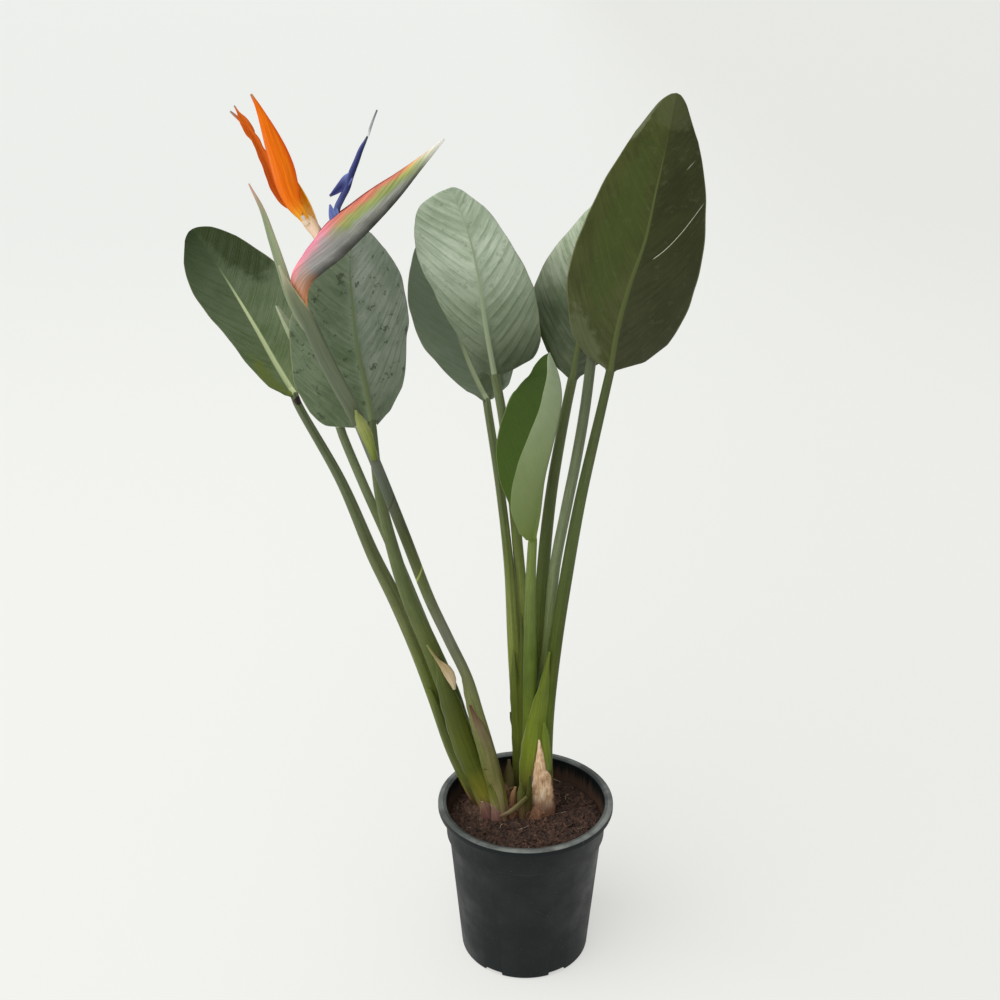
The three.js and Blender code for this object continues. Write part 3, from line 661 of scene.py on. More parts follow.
@dataclass(frozen=True)
class LeafFinish:
    """The finish of a whole leaf.

    The blade's colours run from its base to its tip, the stalk's from its foot to its neck. Dark tissue
    multiplies the blade by deep, and so does the painted shade in the vein grooves. Its left and right
    half are multiplied by colours of their own, painted light on one half and painted shade on the other,
    and the vein ridges take a painted highlight. blot is the share of the dark blotches, and slant how
    steeply the side veins climb.
    """

    slot: str
    upper: tuple[Colour, ...]
    under: tuple[Colour, ...]
    stalk: tuple[Colour, ...]
    rib_upper: Colour = (0.2, 0.24, 0.1)
    rib_under: Colour = (0.2, 0.24, 0.12)
    deep: Colour = (0.5, 0.58, 0.45)
    bloom: float = 0.7
    dash: float = 0.3
    dash_colour: Colour = (0.04, 0.055, 0.03)
    blot: float = 0.0
    line: float = 0.12
    # share of the painted highlight on the vein ridges
    ridge_highlight: float = 0.25
    # share of the painted shade in the vein grooves
    groove: float = 0.3
    gap: float = 12.0
    slant: tuple[float, float] = (0.72, 0.006)
    # painted light and shade: colours that lighten one half of the blade and darken the other
    lit_and_shaded_halves: tuple[Colour, Colour] = ((1.0, 1.0, 1.0), (1.0, 1.0, 1.0))
    rib_end: float = 0.98
    rib_width: float = 2.7
    gloss: tuple[float, float] = (0.36, 0.5)
    shine: float = 0.25
    margin: Colour = (0.3, 0.3, 0.16)
    patches: tuple[Patch, ...] = ()
    slits: tuple[Slit, ...] = ()
    spots: tuple[Spot, ...] = ()

    def material(self, name: str) -> bpy.types.Material:
        """Builds the leaf's material."""
        coat = Coat(name)
        where, across, face, measure = coat.grown()
        upper = coat.span(face, -0.3, 0.3)
        blade = coat.calc("GREATER_THAN", where, 0.0)
        grain = coat.use(TISSUE, measure, coat.place, self.gap)
        fibre = coat.use(STREAKS, measure, 1.1)
        uneven = coat.use(MOTTLE, coat.place, 34.0, 0.3)
        stalk = coat.stalk(coat.span(where, -1.0, 0.0), self.stalk, fibre, uneven)
        colour = self.blade_colour(coat, where, across, measure, upper, grain)
        base = coat.mix(blade, coat.stained_foot(stalk), colour)
        rough = grain["Bloom"] * 0.16 + (upper * (self.gloss[0] - self.gloss[1]) + (self.gloss[1] - 0.06))
        veined = (grain["Line"] + grain["Bloom"]) * 0.5
        height = coat.node("Mix", {0: blade, 2: fibre["Streak"] * 0.8, 3: veined}, data_type="FLOAT")
        return coat.done(coat.spotted(base, self.spots), rough, height, 0.18, self.shine)

    def blade_colour(
        self, coat: Coat, where: Wire, across: Wire, measure: Wire, upper: Wire, grain: Wires
    ) -> Wire:
        """Returns the blade's colour: tissue, patches, veins, dashes, midrib, splits and margin."""
        _, reach, phase = coat.parts(measure)
        base = coat.mix(upper, coat.ramp(where, self.under), coat.ramp(where, self.upper))
        # painted light and shade: one half of the blade lit, the other shaded
        base = coat.times(base, coat.mix(coat.span(reach, -9.0, 9.0), *self.lit_and_shaded_halves))
        deep = coat.times(base, self.deep)
        base = coat.mix((1.0 - grain["Bloom"]) * self.bloom, base, deep)
        for patch in self.patches:
            scale = (1 / patch.size[0], 1 / patch.size[1], 0.0)
            grown = coat.join(where, across)
            oval = coat.use(PATCH, grown, coat.place, (*patch.middle, 0.0), scale, patch.ragged)
            base = coat.mix(oval["Mask"] * patch.share, base, patch.colour)
        # painted shade in the vein grooves
        base = coat.mix(grain["GrooveShade"] * self.groove, base, deep)
        # pale fine vein lines, and the painted highlight on the vein ridges
        bright = coat.times(base, (1.5, 1.45, 1.5))
        blots = coat.span(coat.cloud(coat.place, 105.0, 4.0, 0.68), 0.585, 0.66)
        for mask, share, colour in (
            (grain["Line"], self.line, bright), (grain["RidgeHighlight"], self.ridge_highlight, bright),
            (grain["Dash"], self.dash, self.dash_colour), (blots, self.blot, self.dash_colour),
        ):
            base = coat.mix(mask * share, base, colour)
        rib = coat.span(abs(reach) / coat.span(where, 0.0, 1.0, self.rib_width, 0.5), 1.2, 0.6)
        rib = rib * coat.span(where, self.rib_end, self.rib_end - 0.3)
        base = coat.mix(rib, base, coat.mix(upper, self.rib_under, self.rib_upper))
        for slit in self.slits:
            side = reach * -1.0
            ends = coat.span(side, slit.start - 1, slit.start + 2)
            ends = ends * coat.span(side, slit.end + 1, slit.end - 3)
            near = coat.span(abs(phase - slit.phase), slit.width, slit.width * 0.5)
            base = coat.mix(ends * near, base, slit.colour)
        return coat.mix(coat.span(abs(across), 0.975, 0.995) * 0.6, base, self.margin)


@dataclass(frozen=True)
class StalkFinish:
    """The finish of a flower stalk or a green sheath, with its colours from foot to top.

    rings are the pale slanted lines where sheaths end: a share of the length, a half width and a colour.
    """

    colours: tuple[Colour, ...]
    margin: Colour | None = None
    margin_start: float = 0.84
    stained: bool = True
    rings: tuple[tuple[float, float, Colour], ...] = ()

    def material(self, name: str) -> bpy.types.Material:
        """Builds the stalk's material."""
        coat = Coat(name)
        where, across, _, measure = coat.grown()
        fibre = coat.use(STREAKS, measure, 1.0)
        uneven = coat.use(MOTTLE, coat.place, 34.0, 0.5)
        base = coat.stalk(where, self.colours, fibre, uneven)
        if self.margin:
            edge = coat.span(abs(across), self.margin_start, self.margin_start + 0.08)
            base = coat.mix(edge * 0.8, base, self.margin)
        for place, width, colour in self.rings:
            ring = coat.span(abs(across * 0.011 + where - place), width, width * 0.4)
            base = coat.mix(ring, base, colour)
        if self.stained:
            base = coat.stained_foot(base)
        return coat.done(base, uneven["Shade"] * 0.16 + 0.4, fibre["Streak"], 0.2, 0.2)


@dataclass(frozen=True)
class PetalFinish:
    """The finish of a bract, sepal or petal: a colour across it, then at its foot and its tip.

    The colours in across run from the keel (0) to the margins (1). Each entry of later has such colours,
    which take over between two shares of its length.
    """

    across: Stops
    foot: Colour
    tip: Colour
    foot_end: float = 0.2
    tip_start: float = 0.86
    streak: float = 0.3
    shade: Colour = (0.6, 0.5, 0.45)
    rough: float = 0.42
    fine: float = 0.9
    later: tuple[tuple[float, float, Stops], ...] = ()
    spots: tuple[Spot, ...] = ()

    def material(self, name: str) -> bpy.types.Material:
        """Builds the petal's material."""
        coat = Coat(name)
        where, across, _, measure = coat.grown()
        ragged = coat.cloud(coat.place, 60.0, 3.0) - 0.5
        away = ragged * 0.3 + abs(across)
        base = coat.stops(away, *self.across)
        for low, high, colours in self.later:
            base = coat.mix(coat.span(ragged * 0.1 + where, low, high), base, coat.stops(away, *colours))
        base = coat.mix(coat.span(ragged * 0.12 + where, self.foot_end, 0.0), base, self.foot)
        base = coat.mix(coat.span(ragged * 0.06 + where, self.tip_start, 1.0), base, self.tip)
        dark = coat.times(base, self.shade)
        fibre = coat.use(STREAKS, measure, self.fine)
        uneven = coat.use(MOTTLE, coat.place, 60.0, 0.15)
        base = coat.mix(fibre["Streak"] * self.streak, base, dark)
        base = coat.spotted(coat.mix(uneven["Fleck"] * 0.3, base, dark), self.spots)
        return coat.done(base, uneven["Shade"] * 0.14 + (self.rough - 0.07), fibre["Streak"], 0.12, 0.13)


@dataclass(frozen=True)
class DryFinish:
    """The finish of dead, fibrous tissue: dry sheaths, stubs and the rootstock."""

    pale: Colour
    mid: Colour
    dark: Colour
    fine: float = 1.6
    red_foot: float = 0.0
    margin: Colour | None = None

    def material(self, name: str) -> bpy.types.Material:
        """Builds the dry tissue's material."""
        coat = Coat(name)
        x, y, z = coat.parts(coat.place)
        fibre = coat.cloud(coat.join(x, y, z * 0.16), 420.0 * self.fine, 5.0, 0.6)
        clod = coat.cloud(coat.place, 75.0, 4.0, 0.6)
        base = coat.stops(clod * 0.55 + fibre * 0.45, (0.3, self.dark), (0.5, self.mid), (0.66, self.pale))
        base = coat.mix(coat.span(z, 0.215, 0.185) * self.red_foot, base, (0.13, 0.045, 0.025))
        if self.margin:
            edge = (clod - 0.5) * 0.9 + abs(coat.grown()[1])
            base = coat.mix(coat.span(edge, 0.72, 0.95), base, self.margin)
        return coat.done(base, coat.span(fibre, 0.2, 0.8, 0.6, 0.9), fibre, 0.5)


@dataclass(frozen=True)
class SoilFinish:
    """The finish of peat, bark chips or loose fibres."""

    dark: Colour
    mid: Colour
    pale: Colour
    grain: float = 260.0

    def material(self, name: str) -> bpy.types.Material:
        """Builds the soil's material."""
        coat = Coat(name)
        clod = coat.cloud(coat.place, self.grain * 0.35, 4.0, 0.6)
        crumb = coat.cloud(coat.place, self.grain, 5.0, 0.7)
        base = coat.stops((clod + crumb) * 0.5, (0.36, self.dark), (0.52, self.mid), (0.66, self.pale))
        return coat.done(base, coat.span(crumb, 0.2, 0.8, 0.72, 0.96), crumb, 1.2)


@dataclass(frozen=True)
class PotFinish:
    """Moulded black plastic: dust, specks, scratches, silt on its inner wall, a rubbed rim with a painted
    reflection.
    """

    plastic: Colour = (0.005, 0.0077, 0.0086)
    dust: Colour = (0.05, 0.052, 0.046)
    speck: Colour = (0.26, 0.25, 0.22)
    rubbed_and_sheen: Colour = (0.25, 0.265, 0.25)
    silt: Colour = (0.1, 0.058, 0.04)

    def material(self, name: str) -> bpy.types.Material:
        """Builds the pot's material."""
        coat = Coat(name)
        x, y, z = coat.parts(coat.place)
        angle = coat.calc("ARCTAN2", y, x)
        film = coat.cloud(coat.place, 22.0, 5.0, 0.6)
        drips = coat.cloud(coat.join(angle * 26.0, z * 14.0), 1.0, 4.0, 0.6)
        slant = coat.join(z * 260.0 + angle * 20.0, angle * 1.6 + z * 9.0, 2.0)
        # the rim's top is painted lighter: rubbed plastic with a painted reflection of the light
        lip = coat.span(z, 0.2046, 0.2058) * coat.span(film, 0.35, 0.65, 0.35, 1.0) * 0.9
        away = coat.calc("SQRT", x * x + y * y)
        inside = coat.span(away, 0.0952, 0.0948) * coat.calc("GREATER_THAN", z, 0.1665)
        base = coat.mix(coat.span(film, 0.45, 0.75, 0.0, 0.07), self.plastic, self.dust)
        for mask, colour in (
            (coat.span(drips, 0.56, 0.78, 0.0, 0.12), self.dust),
            (coat.span(coat.cloud(coat.place, 700.0, 1.0), 0.76, 0.8, 0.0, 0.5), self.speck),
            (coat.span(coat.cloud(slant, 1.0, 1.0), 0.76, 0.8, 0.0, 0.4), self.rubbed_and_sheen),
            (lip, self.rubbed_and_sheen),
            (inside * coat.span(drips * -0.03 + z, 0.186, 0.166) * 0.8, self.silt),
        ):
            base = coat.mix(mask, base, colour)
        fine = coat.cloud(coat.place, 480.0, 3.0, 0.6)
        return coat.done(base, coat.span(film, 0.3, 0.7, 0.4, 0.6), fine, 0.05, 0.15)


# The pot and what fills it


@dataclass
class Pot:
    """The nursery pot: a thin tapered wall with a collar, a flanged rim and drain slots at its foot."""

    height: float = 206.0
    rim_radius: float = 105.0
    rim_band: float = 8.0
    collar_top: float = 96.5
    collar_height: float = 34.0
    collar_step: float = 3.0
    base_radius: float = 78.0
    base_corner: float = 4.0
    wall: float = 1.8
    slots: int = 6
    slot_width: float = 24.0
    slot_height: float = 6.0
    slot_depth: float = 14.0
    sides: int = 192

    def profile(self) -> list[tuple[float, float]]:
        """Returns the radius and height of the wall, up the outside, over the rim and down the inside."""
        band = self.height - self.rim_band
        low = band - self.collar_height
        collar = self.collar_top - 1.5
        corner = self.base_corner
        foot = [
            (self.base_radius - corner * (1 - math.sin(a)), corner * (1 - math.cos(a)))
            for a in np.radians(np.linspace(0, 84, 6))
        ]
        lip = [
            (self.rim_radius - 1.6 * (1 - math.cos(a)), self.height - 1.6 * (1 - math.sin(a)))
            for a in np.radians(np.linspace(0, 90, 5))
        ]
        inner = self.collar_top - self.wall
        return [
            (0.01, 0.0), (self.base_radius * 0.5, 0.0), *foot,
            (collar - self.collar_step - 0.2, low - 3.6), (collar - self.collar_step + 0.3, low - 2.9),
            (collar - 0.4, low - 0.5), (collar, low), (self.collar_top - 0.1, band - 1.4),
            (self.collar_top + 0.4, band - 0.6),
            (self.rim_radius - 1.4, band), (self.rim_radius - 0.3, band + 0.5),
            (self.rim_radius, band + 1.4), *lip,
            (inner + 4.6, self.height), (inner + 4.0, self.height - 0.7), (inner + 1.2, self.height - 0.8),
            (inner + 0.3, self.height - 1.3), (inner, self.height - 2.4),
            (collar - self.wall, low), (collar - self.collar_step - self.wall, low - 3.0),
            (self.base_radius - self.wall, corner + 1), (self.base_radius - self.wall - 2, self.wall + 0.6),
            (0.01, self.wall + 0.6),
        ]

    def body(self) -> bpy.types.Object:
        """Turns the wall from its profile and closes it at the axis."""
        outline = self.profile()
        angles = np.linspace(0, 2 * math.pi, self.sides, endpoint=False)
        points = [(r * math.cos(a), r * math.sin(a), z) for r, z in outline for a in angles]
        return mesh_from("nursery_pot", points, hoops(len(outline), self.sides))

    def cut_slots(self, pot: bpy.types.Object) -> None:
        """Cuts the drain slots through the wall and the floor at the foot."""
        work = bmesh.new()
        for i in range(self.slots):
            turn = (i + 0.5) * 2 * math.pi / self.slots - math.pi / 2
            size = Vector((self.slot_depth, self.slot_width, 2 * self.slot_height)) * MM
            middle = Vector(((self.base_radius - self.slot_depth / 2 + 2) * MM, 0.0, 0.0))
            place = Matrix.Rotation(turn, 4, "Z") @ Matrix.Translation(middle)
            bmesh.ops.create_cube(work, size=1.0, matrix=place @ Matrix.Diagonal((*size, 1.0)))
        level = [e for e in work.edges if abs((e.verts[0].co - e.verts[1].co).z) < 1e-6]
        upper = [e for e in level if e.verts[0].co.z > 0]
        bmesh.ops.bevel(work, geom=upper, offset=1.2 * MM, segments=3, affect="EDGES", profile=0.5)
        mesh = bpy.data.meshes.new("slots")
        work.to_mesh(mesh)
        work.free()
        cutter = shown("slots", mesh)
        cut = pot.modifiers.new("slots", "BOOLEAN")
        cut.object = cutter
        cut.solver = "EXACT"
        take_result(pot)
        bpy.data.objects.remove(cutter)

    def build(self) -> None:
        """Builds and dresses the pot."""
        pot = self.body()
        self.cut_slots(pot)
        pot.data.set_sharp_from_angle(angle=math.radians(42))
        settle(pot, "pot", PotFinish(), "pot")


# Loose pieces that repeat


class Grit(Enum):
    """What a scatter is made of."""

    CHIP = "chip"
    STRAND = "strand"


class Scatter(Tree):
    """A Geometry Nodes tree that scatters chips or strands over a surface."""

    INPUTS = {
        "Surface": "Geometry", "Density": "Float", "Seed": "Int", "Smallest": "Float", "Largest": "Float",
        "Shape": "Vector", "Tilt": "Float", "Above": "Float", "Within": "Float", "Finish": "Material",
    }

    def __init__(self, kind: Grit) -> None:
        """Builds the tree for one kind of grit."""
        super().__init__(bpy.data.node_groups.new("scatter_" + kind.value, "GeometryNodeTree"))
        sockets = self.tree.interface
        self.keys = {
            title: sockets.new_socket(title, in_out="INPUT", socket_type="NodeSocket" + form).identifier
            for title, form in self.INPUTS.items()
        }
        sockets.new_socket("Pieces", in_out="OUTPUT", socket_type="NodeSocketGeometry")
        outputs = self.tree.nodes.new("NodeGroupInput").outputs
        given = {title: Wire(self, outputs[title]) for title in self.INPUTS}
        spot = self.node("GeometryNodeInputPosition")
        away = self.vector("LENGTH", self.vector("MULTIPLY", spot, (1.0, 1.0, 0.0)))
        above = self.calc("GREATER_THAN", self.parts(spot)[2], given["Above"])
        on_top = above * self.calc("LESS_THAN", away, given["Within"])
        points = self.node("GeometryNodeDistributePointsOnFaces", {
            "Mesh": given["Surface"], "Selection": on_top, "Density": given["Density"],
            "Seed": given["Seed"],
        })
        grain = self.chip(given["Shape"]) if kind is Grit.CHIP else self.strand(given["Shape"])
        spin = self.random("FLOAT_VECTOR", (0.0, 0.0, 0.0), (1.0, 1.0, 2 * math.pi), given["Seed"])
        turn = self.vector("MULTIPLY", spin, self.join(given["Tilt"], given["Tilt"], 1.0))
        size = self.random("FLOAT", given["Smallest"], given["Largest"], given["Seed"])
        placed = self.node("GeometryNodeInstanceOnPoints", {
            "Points": points, "Instance": grain, "Rotation": turn, "Scale": size,
        })
        solid = self.node("GeometryNodeRealizeInstances", {"Geometry": placed})
        dressed = self.node("GeometryNodeSetMaterial", {"Geometry": solid, "Material": given["Finish"]})
        self.feed(self.tree.nodes.new("NodeGroupOutput").inputs[0], dressed)

    def random(self, kind: str, low: Any, high: Any, seed: Wire) -> Wire:
        """Returns a random value between two ends."""
        first, last, out = {"FLOAT": (2, 3, 1), "FLOAT_VECTOR": (0, 1, 0)}[kind]
        return self.node("FunctionNodeRandomValue", {first: low, last: high, "Seed": seed}, out,
                         data_type=kind)

    def chip(self, shape: Wire) -> Wire:
        """Returns a lumpy chip of unit size, stretched to the shape."""
        ball = self.node("GeometryNodeMeshIcoSphere", {"Radius": 1.0, "Subdivisions": 2})
        rough = self.node("TexNoise", {"Scale": 1.3, "Detail": 1.0}, "Color")
        pushed = self.vector("MULTIPLY", self.vector("SUBTRACT", rough, (0.5, 0.5, 0.5)), (1.5, 1.5, 1.5))
        lumpy = self.node("GeometryNodeSetPosition", {"Geometry": ball, "Offset": pushed})
        return self.node("GeometryNodeTransform", {"Geometry": lumpy, "Scale": shape})

    def strand(self, shape: Wire) -> Wire:
        """Returns a thin bent strand of unit length, as thick as the shape's X."""
        bend = {"Resolution": 7, "Start": (-0.5, 0.0, 0.0), "Middle": (0.05, 0.35, 0.18),
                "End": (0.5, -0.06, 0.1)}
        line = self.node("GeometryNodeCurveQuadraticBezier", bend)
        ring = self.node("GeometryNodeCurvePrimitiveCircle",
                         {"Resolution": 5, "Radius": self.parts(shape)[0]})
        tube = self.node("GeometryNodeCurveToMesh",
                         {"Curve": line, "Profile Curve": ring, "Fill Caps": True})
        return self.node("GeometryNodeSetShadeSmooth", {"Geometry": tube})

    def over(self, name: str, surface: bpy.types.Object, slot: str, **values: Any) -> None:
        """Scatters over a surface, and settles what lies there as one plain mesh object.

        Args:
            name: The new piece's name.
            surface: The object to scatter over, which stays as it is.
            slot: The record's material slot, passed on to settle, which doesn't use it.
            **values: The tree's inputs, by name.
        """
        carrier = shown(name, surface.data.copy())
        modifier = carrier.modifiers.new("scatter", "NODES")
        modifier.node_group = self.tree
        for title, value in values.items():
            modifier[self.keys[title]] = value
        take_result(carrier)
        settle(carrier, slot, None)


SOIL_LEVEL = 178.0
# The least height and the greatest distance from the axis, in metres, of what is scattered
ON_SOIL = {"Above": 0.1695, "Within": 0.0895}
ON_CROWN = {"Above": 0.178, "Within": 0.088}


@dataclass
class Soil:
    """Peat and bark mix that fills the pot, with chips, crumbs and loose fibres on top."""

    radius: float = 93.4
    wall: tuple[tuple[float, float], ...] = ((92.6, 165.0), (89.6, 160.0), (75.7, 6.0), (73.1, 2.9))
    rings: int = 74
    sides: int = 150

    def height_at(self, x: float, y: float) -> float:
        """Returns the height of the soil's surface at a point."""
        lumps = math.sin(x * 0.21 + 1.3) * math.cos(y * 0.19 - 0.6) + 0.6 * math.sin(x * 0.43 - y * 0.37)
        clods = noise.fractal(Vector((x, y, 0.0)) * 0.11, 1.0, 2.0, 4)
        crumbs = noise.noise(Vector((x, y, 9.0)) * 0.55)
        rim = 3.0 * max(0.0, (math.hypot(x, y) - 84.0) / 10.0)
        return SOIL_LEVEL + 1.2 * lumps + 2.8 * clods + 1.3 * crumbs - rim

    def build(self) -> None:
        """Builds the surface and scatters what lies on it."""
        angles = np.linspace(0, 2 * math.pi, self.sides, endpoint=False)
        points = []
        for r in np.linspace(0.4, self.radius, self.rings):
            for a in angles:
                x, y = r * math.cos(a), r * math.sin(a)
                points.append((x, y, self.height_at(x, y)))
        points += [(r * math.cos(a), r * math.sin(a), z) for r, z in self.wall for a in angles]
        n = self.sides
        rows = self.rings + len(self.wall)
        faces = [
            (row * n + i, (row + 1) * n + i, (row + 1) * n + (i + 1) % n, row * n + (i + 1) % n)
            for row in range(rows - 1)
            for i in range(n)
        ]
        faces += [tuple(range(n)), tuple(range(rows * n - 1, (rows - 1) * n - 1, -1))]
        soil = mesh_from("soil_mix", points, faces)
        settle(soil, "soil", SoilFinish((0.009, 0.0045, 0.003), (0.045, 0.021, 0.012), (0.13, 0.064, 0.04)),
               "soil")
        self.litter(soil)

    def litter(self, soil: bpy.types.Object) -> None:
        """Scatters bark, crumbs, fibres and rootlets over the soil."""
        chips, strands = Scatter(Grit.CHIP), Scatter(Grit.STRAND)
        bark, crumb, straw, root = (
            SoilFinish(*colours, grain).material(name)
            for name, grain, colours in (
                ("bark", 420.0, ((0.015, 0.007, 0.004), (0.065, 0.029, 0.017), (0.17, 0.088, 0.055))),
                ("crumbs", 700.0, ((0.008, 0.004, 0.003), (0.038, 0.018, 0.011), (0.1, 0.048, 0.03))),
                ("straw", 300.0, ((0.07, 0.035, 0.02), (0.17, 0.1, 0.06), (0.36, 0.25, 0.16))),
                ("rootlets", 300.0, ((0.3, 0.22, 0.15), (0.55, 0.45, 0.34), (0.75, 0.66, 0.55))),
            )
        )
        for name, tree, material, density, seed, small, large, shape, tilt in (
            ("bark_chips", chips, bark, 30000.0, 4, 0.0012, 0.0036, (1.5, 0.8, 0.42), 0.7),
            ("bark_flakes", chips, bark, 9000.0, 11, 0.0022, 0.0048, (1.6, 0.6, 0.24), 0.5),
            ("peat_crumbs", chips, crumb, 52000.0, 23, 0.0006, 0.0018, (1.0, 0.9, 0.8), 3.0),
            ("straw_fibres", strands, straw, 3800.0, 31, 0.005, 0.013, (0.02, 0.0, 0.0), 0.4),
            ("pale_rootlets", strands, root, 420.0, 47, 0.008, 0.02, (0.016, 0.0, 0.0), 0.3),
        ):
            tree.over(
                name, soil, "soil", Density=density, Seed=seed, Smallest=small, Largest=large, Shape=shape,
                Tilt=tilt, Finish=material, **ON_SOIL,
            )


# The plant


@dataclass(frozen=True)
class Stem:
    """A stalk: its route, with half its depth and half its width at even steps along it.

    dome is the share of its length over which its top closes to a round end.
    """

    route: tuple[Point, ...]
    depths: tuple[float, ...]
    widths: tuple[float, ...] = ()
    facing: Point = (0.0, 1.0, 0.0)
    dome: float = 0.0

    def rows(self, where: Array) -> Rows:
        """Returns the stalk's round sections at fractions of its length."""
        closed = np.sqrt(1 - 0.98 * np.clip((where - 1 + self.dome) / max(self.dome, 1e-6), 0.0, 1.0) ** 2)
        half = (steady(self.widths or self.depths, where) + 0.3) * closed
        depth = (steady(self.depths, where) + 0.3) * closed
        return sections(self.route, self.facing, where, half, depth=depth, flat=0.0, thick=0.0)

    def build(self, name: str, slot: str, finish: Any, node: str, steps: int, columns: int = 25) -> None:
        """Builds and dresses the stalk as a piece of its own."""
        skin = skin_over(self.rows(np.linspace(0, 1, steps)), columns)
        settle(mesh_from_skin(name, skin), slot, finish, node)


# The shares of a blade's length at which its half widths are given, and the length of its neck
BLADE_STATIONS = (0.0, 0.03, 0.1, 0.25, 0.4, 0.55, 0.7, 0.85, 0.95, 1.0)
NECK_LENGTH = 3.0


@dataclass(frozen=True)
class Leaf:
    """One leaf: its stalk and its paddle-shaped blade are one piece.

    The half widths left and right are seen on the upper side. fold is how many degrees each half rises at
    the midrib, curl how many more it rises by the margin, and lobe how far the base hangs below the neck.
    """

    name: str
    stem: Stem
    midrib: tuple[Point, ...]
    left: tuple[float, ...]
    right: tuple[float, ...]
    fold: float
    curl: float
    lobe: float
    wave: tuple[float, float]
    rib: float
    finish: LeafFinish
    relief: float

    def half_width(self, values: tuple[float, ...], where: Array, shift: float) -> Array:
        """Returns a half width at fractions of the blade, rounded at the tip and slightly uneven."""
        half = steady((self.stem.depths[-1], *values, 1.2), where, BLADE_STATIONS)
        last = BLADE_STATIONS[-2]
        round_tip = values[-1] * np.sqrt(np.clip(1 - ((where - last) / (1 - last)) ** 2, 0.0004, 1.0))
        half = np.where(where > last, 0.45 * half + 0.55 * round_tip, half)
        uneven = 0.5 * np.sin(where * 19 + shift) + 0.22 * np.sin(where * 47 + 1.7)
        return np.maximum(half + uneven * np.clip(half / 30, 0, 1), 0.6)

    def skin(self) -> Skin:
        """Lofts the stalk and the blade as one skin."""
        line = Route(self.midrib)
        low = np.array(self.midrib[0]) - NECK_LENGTH * line.heading(np.array([0.0]))[0]
        stalk = replace(self.stem, route=(*self.stem.route, tuple(low))).rows(np.linspace(0.0, 1.0, 56))
        steps = ((0.004, 0.05, 9), (0.05, 0.94, 150), (0.94, 1.0, 16))
        where = np.unique(np.concatenate([np.linspace(*step) for step in steps]))
        count, rest = len(stalk.centre), np.ones(len(where))
        none = np.zeros(count)
        rows = Rows(
            centre=np.vstack([stalk.centre, line.at(where)]),
            heading=np.vstack([stalk.heading, line.heading(where)]),
            facing=self.stem.facing,
            left=np.concatenate([stalk.left, self.half_width(self.left, where, 0.0)]),
            right=np.concatenate([stalk.right, self.half_width(self.right, where, 3.0)]),
            along=np.concatenate([stalk.along - stalk.along[-1] - NECK_LENGTH, where * line.length]),
            depth=np.concatenate([stalk.depth, self.stem.depths[-1] * rest]),
            flat=np.concatenate([none, np.clip(where / 0.024, 0.3, 1.0)]),
            fold=np.concatenate([none, self.fold * np.clip(where / 0.02, 0.3, 1.0)]),
            curl=np.concatenate([none, self.curl * rest]),
            lobe=np.concatenate([none, self.lobe * np.maximum(0.0, 1 - where / 0.3) ** 2]),
            rib=np.concatenate([none, self.rib * (1 - where) ** 0.8 + 0.2]),
            rib_width=np.concatenate([none + 3.0, 2.9 - 2.0 * where]),
            channel=np.concatenate([steady((0.0, 0.6, 1.1), np.linspace(0, 1, count)), 0.9 * (1 - where)]),
            vein_gap=self.finish.gap, vein_relief=self.relief, vein_slant=self.finish.slant,
        )
        skin = skin_over(rows, 57)
        along = skin.measure[:, 0]
        skin.growth[:, 0] = np.where(along < 0, along / -along.min(), along / line.length)
        return skin

    def waved(self, skin: Skin) -> Skin:
        """Raises the margins in waves."""
        count, height = self.wave
        where, across = skin.growth[:, 0], skin.growth[:, 1]
        swing = np.sin(2 * math.pi * count * where + np.where(across < 0, 0.0, 2.0))
        rise = np.where(where > 0, height * np.abs(across) ** 3 * (1 - where) * swing, 0.0)
        facing = np.array(self.stem.facing)
        skin.points += rise[:, None] * (facing / np.linalg.norm(facing))[None, :]
        return skin

    def build(self) -> None:
        """Builds and dresses the leaf, which stands for the frame's node of the same name."""
        piece = mesh_from_skin(self.name, self.waved(self.skin()))
        settle(piece, self.finish.slot, self.finish, self.name.removeprefix("strelitzia_"))


@dataclass(frozen=True)
class Lobe:
    """One of the two lobes that point back from an arrow-shaped petal."""

    route: tuple[Point, ...]
    facing: Point
    half: tuple[float, ...] = (2, 4.8, 4.6, 3.2, 1.2)


